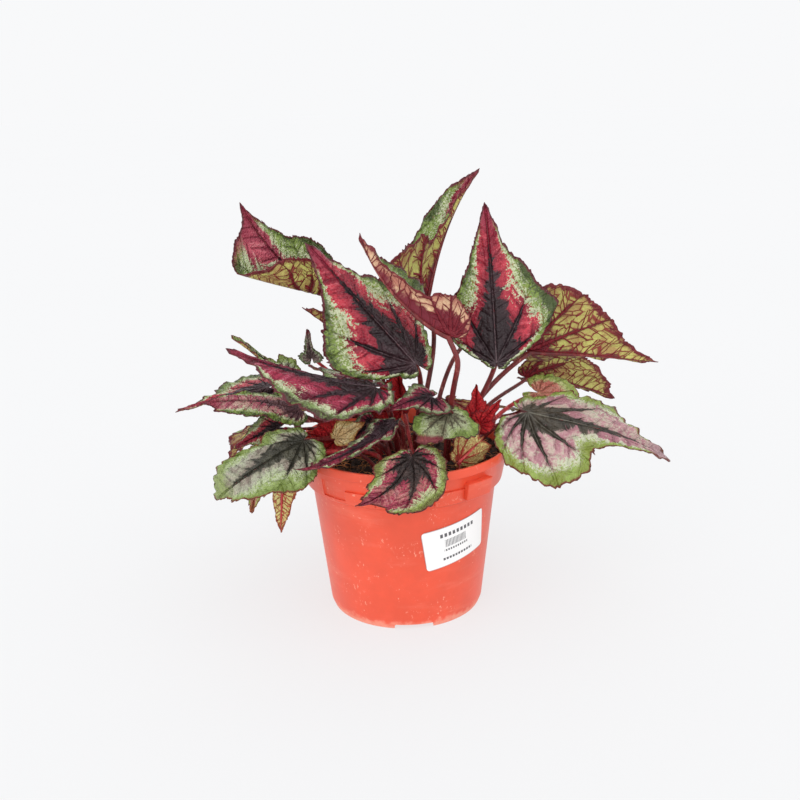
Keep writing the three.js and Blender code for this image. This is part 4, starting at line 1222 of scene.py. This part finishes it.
def wall_radius(z):
    share = (z - FOOT_HEIGHT) / (WALL_TOP - FOOT_HEIGHT)
    return FOOT_TOP_RADIUS + (WALL_TOP_RADIUS - FOOT_TOP_RADIUS) * share


def collar_radius(z):
    share = (z - COLLAR_BOTTOM) / (LIP_BOTTOM - COLLAR_BOTTOM)
    return COLLAR_BOTTOM_RADIUS + (COLLAR_TOP_RADIUS - COLLAR_BOTTOM_RADIUS) * share


def rounded(profile, radius, steps=3):
    """The profile with each corner off the axis turned into an arc."""
    points = [np.array(p, float) for p in profile]
    result = []
    for i, corner in enumerate(points):
        before, after = points[i - 1], points[(i + 1) % len(points)]
        if corner[0] < 1e-9:
            result.append(corner)
            continue
        back, ahead = unit(before - corner), unit(after - corner)
        half = math.acos(float(np.clip(back @ ahead, -1, 1))) / 2
        room = min(np.linalg.norm(before - corner), np.linalg.norm(after - corner)) * 0.45
        cut = min(radius / math.tan(half), room)
        for t in np.linspace(0, 1, steps + 1):
            start, end = corner + back * cut, corner + ahead * cut
            result.append((1 - t) ** 2 * start + 2 * t * (1 - t) * corner + t * t * end)
    return result


def turned(profile, segments):
    """A profile of (radius, height) points spun about the Z axis.

    Spin leaves nothing selected, so the merging and facing after it change nothing. The faces
    point inwards and the poles stay unmerged. The pot is merged and faced later, the soil isn't.
    """
    solid = primitive("circle", vertices=len(profile), fill_type="NOTHING")
    set_points(solid, [(r, 0, z) for r, z in profile])
    mesh = bmesh.new()
    mesh.from_mesh(solid.data)
    on_axis = [e for e in mesh.edges if all(abs(v.co.x) < 1e-9 for v in e.verts)]
    bmesh.ops.delete(mesh, geom=on_axis, context="EDGES_FACES")
    mesh.to_mesh(solid.data)
    mesh.free()

    def spin():
        bpy.ops.mesh.spin(steps=segments, angle=2 * math.pi, center=(0, 0, 0), axis=(0, 0, 1))

    edit_all(solid, spin, merge_doubles, face_outwards)
    return solid


def collar_block(inner, outer, azimuths, heights, rounding):
    """A block that follows the collar's taper, with rounded corners."""
    block = primitive("cube", size=1)

    def cut():
        bpy.ops.mesh.subdivide(number_cuts=9)

    edit_all(block, cut)
    share = points_of(block) + 0.5
    z = heights[0] + (heights[1] - heights[0]) * share[:, 2]
    turn = np.radians(azimuths[0] + (azimuths[1] - azimuths[0]) * share[:, 1])
    radius = collar_radius(z) + inner + (outer - inner) * share[:, 0]
    set_points(block, np.stack([radius * np.cos(turn), radius * np.sin(turn), z], -1))
    edit_all(block, face_outwards)
    apply_modifier(block, "BEVEL", width=rounding, segments=3, limit_method="ANGLE")
    return block


def combine(target, tool, operation):
    """Adds the tool to the target, or cuts it away, and removes it."""
    apply_modifier(target, "BOOLEAN", object=tool, operation=operation, solver="EXACT")
    bpy.data.objects.remove(tool)


def pot_material(settings):
    """Moulded orange plastic: satin, with scratches, dried splashes and a scuffed foot."""
    shader = Shader("orange_pot_plastic", roughness=0.42, subsurface_weight=0.06,
                    subsurface_radius=(0.006, 0.002, 0.001))
    point = shader.object_point()
    x, y, z = shader.split(point)
    cloud = shader.noise(point, 34, 4, 0.6)
    colour = shader.blend(shader.rise(cloud, 0.3, 0.7), tuple(c * 0.88 for c in settings.plastic),
                          tuple(settings.plastic))
    drag = shader.stretch(point, (1, 1, 5))
    scratch = shader.rise(shader.noise(drag, 160, 5, 0.75), 0.56, 0.68)
    smear = shader.rise(shader.noise(drag, 22, 4, 0.6), 0.52, 0.75)
    foot = shader.rise(z + shader.grain(point, 190, 0.006, 4), 0.0010, 0.0075, 0.65, 0.0)
    chips = shader.rise(shader.noise(shader.stretch(point, (1.6, 1.6, 1)), 330, 4, 0.7), 0.58, 0.66)
    nicks = shader.rise(shader.noise(point, 60, 3, 0.6), 0.50, 0.60) * chips
    worn = shader.most(shader.most(scratch * smear * 0.8, foot), nicks * 0.75)
    worn = shader.most(worn, smear * 0.12)
    colour = shader.blend(worn, colour, tuple(settings.scuff))
    shader.plug(shader.rise(worn, 0, 0.8, 0.40, 0.62), shader.surface.inputs["Roughness"])
    shader.bump(shader.noise(point, 700, 3) + scratch * 0.3, 0.0001, 0.35)
    return shader.colour(colour)


class BEGONIA_OT_pot(BeginsEmpty, bpy.types.Operator):
    """Turn the pot and mould its sockets, notches and drain holes"""

    bl_idname = "begonia.pot"
    bl_label = "Pot"

    def execute(self, context):
        settings = self.settings.pot
        floor_top = FOOT_HEIGHT + FLOOR
        outside = [
            (0, FOOT_HEIGHT), (FOOT_RADIUS - 0.0035, FOOT_HEIGHT), (FOOT_RADIUS - 0.003, 0),
            (FOOT_RADIUS, 0), (FOOT_TOP_RADIUS, FOOT_HEIGHT), (WALL_TOP_RADIUS, WALL_TOP),
            (COLLAR_BOTTOM_RADIUS, COLLAR_BOTTOM), (COLLAR_TOP_RADIUS, LIP_BOTTOM),
            (RIM_RADIUS, LIP_BOTTOM), (RIM_RADIUS, POT_HEIGHT),
        ]
        inside = [
            (RIM_RADIUS - 0.002, POT_HEIGHT), (COLLAR_TOP_RADIUS - WALL, LIP_BOTTOM),
            (COLLAR_BOTTOM_RADIUS - WALL, COLLAR_BOTTOM), (WALL_TOP_RADIUS - WALL, WALL_TOP),
            (wall_radius(floor_top) - WALL, floor_top), (0, floor_top),
        ]
        pot = turned(rounded(outside + inside, settings.rounding), settings.segments)
        self.cut_foot(pot)
        self.mould_sockets(pot)
        self.mould_ears(pot)
        edit_all(pot, lambda: merge_doubles(1e-5), face_outwards)
        select_only(pot)
        bpy.ops.object.shade_smooth_by_angle(angle=math.radians(32))
        give_material(pot, pot_material(settings))
        hand_in(pot, "moulded_pot", "pot")
        return {"FINISHED"}

    def cut_foot(self, pot):
        """Four water notches in the foot ring and six drain holes in the floor."""
        width, height, first, count = 0.027, 0.0036, -85, 4
        for i in range(count):
            turn = math.radians(first + i * 360 / count)
            notch = primitive("cube", size=1)
            notch.data.transform(Matrix.Diagonal((0.016, width, height * 2, 1)))
            notch.data.transform(Matrix.Translation((FOOT_RADIUS, 0, 0)))
            notch.data.transform(Matrix.Rotation(turn, 4, "Z"))
            apply_modifier(notch, "BEVEL", width=0.0014, segments=4)
            combine(pot, notch, "DIFFERENCE")
        for i in range(6):
            turn = math.radians((i + 0.5) * 60)
            bore = primitive("cylinder", vertices=32, radius=DRAIN_RADIUS, depth=FLOOR * 4)
            bore.data.transform(Matrix.Translation((DRAIN_CIRCLE, 0, FOOT_HEIGHT + FLOOR / 2)))
            bore.data.transform(Matrix.Rotation(turn, 4, "Z"))
            combine(pot, bore, "DIFFERENCE")

    def mould_sockets(self, pot):
        """On the collar, front and back: a raised pad with a sunk pocket beside it, left and right."""
        relief = 0.0011
        for face in (-90, 90):
            for side in (-1, 1):
                pad = sorted((face + side * 16, face + side * 33))
                pocket = sorted((face + side * 33, face + side * 50))
                combine(pot, collar_block(-WALL / 2, 0.0013, pad, (0.0955, 0.105), 0.0012), "UNION")
                combine(pot, collar_block(-relief, WALL * 3, pocket, (0.097, 0.109), 0.0012),
                        "DIFFERENCE")

    def mould_ears(self, pot):
        """Two ears that stand out of the collar, left and right."""
        half = math.degrees(0.009 / COLLAR_TOP_RADIUS) / 2
        for azimuth in (12, 192):
            ear = collar_block(-WALL / 2, 0.004, (azimuth - half, azimuth + half),
                               (0.099, 0.111), 0.0009)
            combine(pot, ear, "UNION")


def soil_material(settings):
    """Dark, damp, crumbly potting soil."""
    shader = Shader("damp_potting_soil", roughness=0.92)
    point = shader.object_point()
    crumbs = shader.rise(shader.noise(point, 300, 5, 0.7), 0.52, 0.70)
    colour = shader.blend(crumbs, tuple(settings.dark), tuple(settings.light))
    wet = shader.rise(shader.noise(point, 70, 3), 0.40, 0.62)
    colour = shader.blend(wet * 0.6, colour, tuple(value * 0.35 for value in settings.dark))
    shader.bump(shader.noise(point, 500, 6, 0.75), 0.0012, 0.9)
    return shader.colour(colour)


def fibre_material(settings):
    shader = Shader("coir_fibre", roughness=0.8)
    point = shader.object_point()
    pale = tuple(min(1.0, value * 1.5) for value in settings.fibre)
    dark = tuple(value * 0.4 for value in settings.fibre)
    return shader.colour(shader.blend(shader.rise(shader.noise(point, 90, 2), 0.35, 0.6), dark, pale))


def spot_on_soil(random, inset):
    """A place on the soil, as likely in one part of it as in another."""
    radius = (COLLAR_TOP_RADIUS - WALL - inset) * math.sqrt(random.uniform(0, 1))
    turn = random.uniform(0, 2 * math.pi)
    return radius * math.cos(turn), radius * math.sin(turn)


class BEGONIA_OT_soil(BeginsEmpty, bpy.types.Operator):
    """Fill the pot with soil and strew crumbs and coir fibres on top"""

    bl_idname = "begonia.soil"
    bl_label = "Soil"

    def execute(self, context):
        settings = self.settings.soil
        random = np.random.default_rng(7)
        body = self.body(random)
        give_material(body, soil_material(settings), fibre_material(settings))
        chunks = self.chunks(random, settings.chunks)
        give_material(chunks, body.data.materials[0])
        fibres = self.fibres(random, settings.fibres)
        give_material(fibres, body.data.materials[1])
        join(body, [chunks, fibres])
        hand_in(body, "potting_soil", "soil")
        return {"FINISHED"}

    def body(self, random):
        clear = WALL + 0.0005
        floor_top = FOOT_HEIGHT + FLOOR + 0.0003
        edge = collar_radius(SOIL_EDGE) - clear
        rings = 34
        profile = [(0, floor_top), (wall_radius(floor_top) - clear, floor_top),
                   (WALL_TOP_RADIUS - clear, WALL_TOP), (COLLAR_BOTTOM_RADIUS - clear, COLLAR_BOTTOM)]
        profile += [(edge * i / rings, SOIL_EDGE) for i in range(rings, -1, -1)]
        body = turned(profile, 128)
        points = points_of(body)
        top = points[:, 2] > SOIL_EDGE - 1e-5
        waves = [(random.uniform(200, 1100, 2), random.uniform(0, 6.3)) for _ in range(14)]
        for i in np.flatnonzero(top):
            x, y = points[i, :2]
            inwards = 1 - (math.hypot(x, y) / edge) ** 6
            rough = sum(math.sin(x * a + 1.7 * y * b * 0.6 + phase) for (a, b), phase in waves)
            points[i, 2] = soil_top(x, y) + 0.00022 * rough * inwards
        set_points(body, points)
        select_only(body)
        bpy.ops.object.shade_smooth()
        return body

    def chunks(self, random, count):
        """Crumbs: one rough lump, copied and squeezed in many ways."""
        lump = primitive("ico_sphere", subdivisions=2, radius=1)
        shape = points_of(lump)
        faces = [tuple(face.vertices) for face in lump.data.polygons]
        bpy.data.objects.remove(lump)
        points, all_faces = [], []
        for _ in range(count):
            size = random.uniform(0.0007, 0.0024) * random.uniform(0.6, 1)
            x, y = spot_on_soil(random, 0.003)
            rough = 1 + random.normal(0, 0.16, (len(shape), 1))
            form = shape * rough * random.uniform(0.5, 1.1, 3)
            angle = random.uniform(0, 2 * math.pi)
            spin = np.array(Matrix.Rotation(angle, 3, Vector(random.normal(0, 1, 3)).normalized()))
            first = len(points) * len(shape)
            centre = np.array([x, y, soil_top(x, y) + size * 0.25])
            points.append(form @ spin.T * size + centre)
            all_faces += [tuple(v + first for v in face) for face in faces]
        return mesh_object("crumbs", np.concatenate(points), all_faces)

    def fibres(self, random, count):
        """Curly threads that lie on the soil."""
        made = []
        for _ in range(count):
            x, y = spot_on_soil(random, 0.006)
            heading, bend = random.uniform(0, 6.3), random.normal(0, 0.35)
            lift = random.uniform(0.0003, 0.0030)
            route = []
            steps = 12
            for i in range(steps):
                t = i / (steps - 1)
                route.append((x, y, soil_top(x, y) + lift * math.sin(math.pi * t) + 0.0002))
                heading += bend + random.normal(0, 0.25)
                x += 0.0013 * math.cos(heading)
                y += 0.0013 * math.sin(heading)
            route = np.array(route)
            if np.hypot(route[:, 0], route[:, 1]).max() > COLLAR_TOP_RADIUS - WALL - 0.002:
                continue
            made.append(thread(route, random.uniform(0.00012, 0.00030)))
        points, faces = [], []
        for thread_points, thread_faces in made:
            first = sum(len(part) for part in points)
            points.append(thread_points)
            faces += [tuple(v + first for v in face) for face in thread_faces]
        return mesh_object("fibres", np.concatenate(points), faces)


def thread(route, radius):
    """A three-sided thread along a line, closed at both ends: its points and faces."""
    points, faces = [], []
    for i, spot in enumerate(route):
        along = unit(route[min(i + 1, len(route) - 1)] - route[max(i - 1, 0)])
        aside = unit(np.cross(along, [0.1, 0.2, 1.0]))
        other = np.cross(along, aside)
        thick = radius * (0.35 + 0.65 * math.sin(math.pi * (i + 0.5) / len(route)))
        for turn in (0, 2.094, 4.189):
            points.append(spot + thick * (aside * math.cos(turn) + other * math.sin(turn)))
    for i in range(len(route) - 1):
        for k in range(3):
            a, b = 3 * i + k, 3 * i + (k + 1) % 3
            faces.append((a, b, b + 3, a + 3))
    last = 3 * (len(route) - 1)
    faces += [(2, 1, 0), (last, last + 1, last + 2)]
    return np.array(points), faces


def label_material(settings):
    """White paper with plain marks that say nothing, and a painted shadow: a dark red line along its
    edge.
    """
    shader = Shader("sticker_paper", roughness=0.38)
    x, y, _ = shader.split(shader.uv("paper"))
    paper = shader.uv("paper")
    absolute_x, absolute_y = shader.math("ABSOLUTE", x), shader.math("ABSOLUTE", y)

    def inside(low_x, high_x, low_y, high_y):
        """1 within a rectangle of the label, in metres from its middle."""
        over = shader.math("COMPARE", x, (low_x + high_x) / 2, (high_x - low_x) / 2)
        return over * shader.math("COMPARE", y, (low_y + high_y) / 2, (high_y - low_y) / 2)

    def dashes(step, fill):
        return shader.math("LESS_THAN", shader.math("FRACT", x / step + 50), fill)

    marks = inside(-0.0125, 0.0145, 0.0075, 0.0103) * dashes(0.0031, 0.62)
    marks = shader.most(marks, inside(-0.0095, 0.0075, -0.0005, 0.0052) * dashes(0.0011, 0.5))
    marks = shader.most(marks, inside(-0.0105, 0.0085, -0.0036, -0.0020) * dashes(0.0019, 0.6))
    marks = shader.most(marks, inside(-0.0125, 0.0125, -0.0102, -0.0084) * dashes(0.0024, 0.7))
    half_width, half_height = settings.width / 2, settings.height / 2
    away_x = shader.math("SUBTRACT", half_width, absolute_x)
    away_y = shader.math("SUBTRACT", half_height, absolute_y)
    away = shader.math("MINIMUM", away_x, away_y)
    # Painted shadow: a dark red line just inside the edge, for the thin shade at the sticker's rim.
    edge_shadow = shader.rise(away, 0.0002, 0.0006, 0.55, 0)
    tone = shader.noise(paper, 900, 3)
    colour = shader.blend(tone * 0.15, tuple(settings.paper), paint(226, 222, 220))
    colour = shader.blend(marks * 0.92, colour, tuple(settings.ink))
    colour = shader.blend(edge_shadow, colour, tuple(settings.edge_shadow))
    shader.bump(tone, 0.00005, 0.3)
    return shader.colour(colour)


class BEGONIA_OT_label(BeginsEmpty, bpy.types.Operator):
    """Stick the label to the pot's wall"""

    bl_idname = "begonia.label"
    bl_label = "Label"

    def execute(self, context):
        settings = self.settings.label
        azimuth, centre_height, tilt = math.radians(-56), 0.0635, math.radians(9)
        half_width, half_height = settings.width / 2, settings.height / 2
        columns, rows = 44, 36
        label = primitive("grid", x_subdivisions=columns, y_subdivisions=rows, size=2)
        grid = points_of(label)
        v = half_height * np.sin(grid[:, 1] * math.pi / 2)
        corner = settings.corner
        end = np.maximum(0, corner - (half_height - np.abs(v)))
        u = grid[:, 0] * (half_width - corner + np.sqrt(np.maximum(corner**2 - end**2, 0)))
        z = centre_height + v * math.cos(tilt) + u * math.sin(tilt)
        radius = wall_radius(z) + 0.00035
        turn = azimuth + (u * math.cos(tilt) - v * math.sin(tilt)) / wall_radius(centre_height)
        set_points(label, np.stack([radius * np.cos(turn), radius * np.sin(turn), z], -1))
        label.data.uv_layers[0].name = "paper"
        write_uv(label, label.data.uv_layers[0], (u, v))
        apply_modifier(label, "SOLIDIFY", thickness=0.00022, offset=0)
        select_only(label)
        bpy.ops.object.shade_smooth_by_angle(angle=math.radians(40))
        give_material(label, label_material(settings))
        hand_in(label, "paper_label", "label")
        return {"FINISHED"}


class BEGONIA_OT_stage(BeginsEmpty, bpy.types.Operator):
    """Set up the pale floor, the soft light and the camera"""

    bl_idname = "begonia.stage"
    bl_label = "Stage"

    def execute(self, context):
        settings = self.settings.stage
        scene = context.scene
        scene.view_settings.view_transform = "Standard"
        self.backdrop(settings)
        self.world(scene)
        self.sun("key", (-0.7, -1.6, 0.9), 1.15)
        self.sun("fill", (1.5, -0.7, 1.2), 0.34)
        self.sun("rear", (0.2, 1.4, 1.2), 0.36)
        self.camera(scene, settings)
        return {"FINISHED"}

    def backdrop(self, settings):
        """A wide pale floor, whose far edge meets the equally pale sky."""
        profile = [(0.0, 0.0), (1.0, 0.0), (5.0, 0.0), (FLOOR_REACH, 0.0),
                   (FLOOR_REACH, -0.1), (0.0, -0.1)]
        floor = turned(profile, 96)
        select_only(floor)
        bpy.ops.object.shade_smooth_by_angle(angle=math.radians(30))
        floor.name = "floor"
        shader = Shader("pale_floor", roughness=0.9, specular_ior_level=0.0,
                        emission_color=(*settings.glow, 1), emission_strength=1.0)
        tone = shader.noise(shader.object_point(), 1.2, 3)
        dim = tuple(value * 0.96 for value in settings.floor)
        give_material(floor, shader.colour(shader.blend(tone, dim, tuple(settings.floor))))

    def world(self, scene):
        world = bpy.data.worlds.new("soft_daylight")
        world.use_nodes = True
        background = world.node_tree.nodes["Background"]
        background.inputs["Color"].default_value = (0.985, 0.99, 1.0, 1)
        background.inputs["Strength"].default_value = 0.955
        scene.world = world

    def sun(self, name, come_from, strength):
        """A very soft light that falls alike on the whole floor."""
        data = bpy.data.lights.new(name, "SUN")
        data.energy = strength
        data.angle = math.radians(60)
        lamp = bpy.data.objects.new(name, data)
        lamp.rotation_euler = Vector(come_from).to_track_quat("Z", "Y").to_euler()
        bpy.context.collection.objects.link(lamp)

    def camera(self, scene, settings):
        data = bpy.data.cameras.new("camera")
        data.lens = 45
        data.sensor_width = 36
        data.clip_start = 0.02
        camera = bpy.data.objects.new("camera", data)
        back = Vector((0, -math.cos(settings.elevation), math.sin(settings.elevation)))
        side = Vector((1, 0, 0))
        up = back.cross(side)
        right = side * math.cos(settings.roll) + up * math.sin(settings.roll)
        top = up * math.cos(settings.roll) - side * math.sin(settings.roll)
        turn = Matrix((right, top, back)).transposed().to_4x4()
        place = Vector(AXIS) + Vector(settings.aim) + back * settings.distance
        camera.matrix_world = Matrix.Translation(place) @ turn
        bpy.context.collection.objects.link(camera)
        scene.camera = camera


OPERATORS = (
    BEGONIA_OT_pot,
    BEGONIA_OT_soil,
    BEGONIA_OT_label,
    BEGONIA_OT_leaves,
    BEGONIA_OT_young_leaves,
    BEGONIA_OT_dry_leaf,
    BEGONIA_OT_stage,
)


class BEGONIA_PT_panel(bpy.types.Panel):
    """Lists the pieces of the plant and their settings"""

    bl_label = "Potted begonia"
    bl_idname = "BEGONIA_PT_panel"
    bl_space_type = "VIEW_3D"
    bl_region_type = "UI"
    bl_category = "Begonia"

    def draw(self, context):
        layout = self.layout
        settings = context.scene.begonia
        for name in PART_GROUPS:
            box = layout.box()
            box.label(text=name.title())
            group = getattr(settings, name)
            for key in group.__annotations__:
                box.prop(group, key)
        for operator in OPERATORS:
            layout.operator(operator.bl_idname)


CLASSES = (*PART_GROUPS.values(), BEGONIA_PG_settings, *OPERATORS, BEGONIA_PT_panel)


def register():
    for entry in CLASSES:
        bpy.utils.register_class(entry)
    bpy.types.Scene.begonia = PointerProperty(type=BEGONIA_PG_settings)


def unregister():
    del bpy.types.Scene.begonia
    for entry in reversed(CLASSES):
        bpy.utils.unregister_class(entry)


def main():
    register()
    for operator in OPERATORS:
        group, name = operator.bl_idname.split(".")
        getattr(getattr(bpy.ops, group), name)()
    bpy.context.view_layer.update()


if __name__ == "__main__":
    main()
